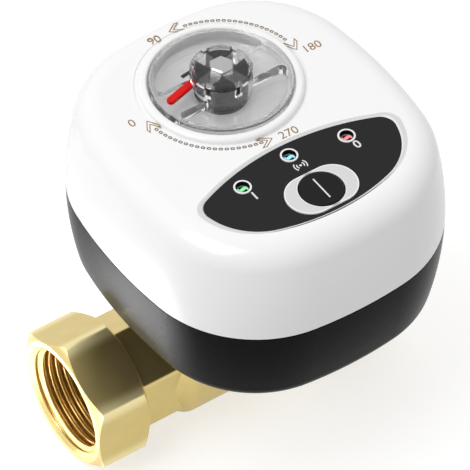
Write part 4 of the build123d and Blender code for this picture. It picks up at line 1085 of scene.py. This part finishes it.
paper, _ = blank_material("pale_paper_floor")
paper_rays = add(paper, "LightPath")
mirror_glow = add(paper, "Math", {1: MIRROR_GLOW},
                  {0: paper_rays.outputs["Is Glossy Ray"]}, operation="MULTIPLY")
paper_seen = add(paper, "Math", operation="MAXIMUM",
                 links={0: paper_rays.outputs["Is Camera Ray"],
                        1: paper_rays.outputs["Is Transmission Ray"]})
paper_glow = add(paper, "Math", {1: CAMERA_GLOW},
                 {0: paper_seen.outputs[0], 2: mirror_glow.outputs[0]}, operation="MULTIPLY_ADD")
paper_shader = add(paper, "BsdfPrincipled",
                   {"Base Color": linear(PAPER_COLOUR), "Roughness": 0.9,
                    "Specular IOR Level": 0.0, "Emission Color": (1, 1, 1, 1)},
                   {"Emission Strength": paper_glow.outputs[0]})
paper_side = add(paper, "NewGeometry")
paper_back = add(paper, "BsdfTransparent")
paper_both = add(paper, "MixShader",
                 links={0: paper_side.outputs["Backfacing"], 1: paper_shader.outputs[0],
                        2: paper_back.outputs[0]})
close_material(paper, paper_both)
floor_mesh.materials.append(paper)
print("floor at", round(floor_height / MM, 2), "mm")

# %% [markdown]
# The camera sees the sky at a strength of one, and so do mirrors and clear plastic. The sky's
# light on the object is weaker, and more of it comes from behind than from the camera's side,
# as from a bright backdrop, which shades the housing's front.

# %% Sky
SKY_SEEN = 1.0
SKY_BRIGHT_SIDE = (0.30, 0.78, 0.55)
SKY_DIM, SKY_BRIGHT = 0.30, 0.88
sky = bpy.data.worlds.new("studio_sky")
sky.use_nodes = True
sky.node_tree.nodes.clear()
sky_rays = add(sky, "LightPath")
sky_seen = add(sky, "Math", operation="MAXIMUM",
               links={0: sky_rays.outputs["Is Camera Ray"], 1: sky_rays.outputs["Is Glossy Ray"]})
sky_clear = add(sky, "Math", operation="MAXIMUM",
                links={0: sky_seen.outputs[0], 1: sky_rays.outputs["Is Transmission Ray"]})
sky_place = add(sky, "TexCoord")
sky_side = add(sky, "VectorMath", {1: SKY_BRIGHT_SIDE},
               {0: sky_place.outputs["Generated"]}, operation="DOT_PRODUCT")
sky_light = add(sky, "MapRange",
                {"From Min": -1.0, "To Min": SKY_DIM, "To Max": SKY_BRIGHT},
                {"Value": sky_side.outputs["Value"]})
sky_strength = add(sky, "MapRange", {"To Max": SKY_SEEN},
                   {"Value": sky_clear.outputs[0], "To Min": sky_light.outputs[0]})
sky_shader = add(sky, "Background", {"Color": (1, 1, 1, 1)},
                 {"Strength": sky_strength.outputs[0]})
add(sky, "OutputWorld", links={"Surface": sky_shader.outputs[0]})
bpy.context.scene.world = sky
print("sky from", SKY_DIM, "to", SKY_BRIGHT)

# %% [markdown]
# One large soft lamp stands high at the left. It gives the cover its clear highlight along the
# edge of the top, and the lamp's size keeps the edges of the shadow soft.

# %% Key lamp
KEY_PLACE = Vector((-0.72, -0.06, 1.05))
KEY_SIZE = 0.8
KEY_WATTS = 6.3
key_light = bpy.data.lights.new("key_lamp", "AREA")
key_light.size = KEY_SIZE
key_light.energy = KEY_WATTS
key_lamp = put_in_scene("key_lamp", key_light)
key_lamp.location = stem + KEY_PLACE
key_lamp.rotation_euler = KEY_PLACE.to_track_quat("Z", "Y").to_euler()
print("key lamp:", KEY_WATTS, "W from", round(KEY_PLACE.length, 2), "m")

# %% [markdown]
# A small spot lights the paper close to the left of the valve, where the picture is white in any
# case. The shiny lower shell mirrors that patch, which gives its left side a broad soft
# highlight. The patch keeps clear of the brass, which would turn white in that light.

# %% Light on the paper
PATCH_X, PATCH_Y = -0.088, 0.018
PATCH_RADIUS = 0.045
SPOT_HEIGHT = 0.5
SPOT_BULB_RADIUS = 0.02
SPOT_WATTS = 120.0
patch_light = bpy.data.lights.new("paper_lamp", "SPOT")
patch_light.energy = SPOT_WATTS
patch_light.spot_size = 2 * math.atan(PATCH_RADIUS / SPOT_HEIGHT)
patch_light.spot_blend = 1.0
patch_light.shadow_soft_size = SPOT_BULB_RADIUS
patch_lamp = put_in_scene("paper_lamp", patch_light)
patch_lamp.location = (stem_x + PATCH_X, PATCH_Y, floor_height + SPOT_HEIGHT)
print("patch:", round(2 * PATCH_RADIUS / MM), "mm wide")

# %% [markdown]
# The view transform is Standard, so that a colour comes out as it is written.

# %% Finish
bpy.context.scene.view_settings.view_transform = "Standard"
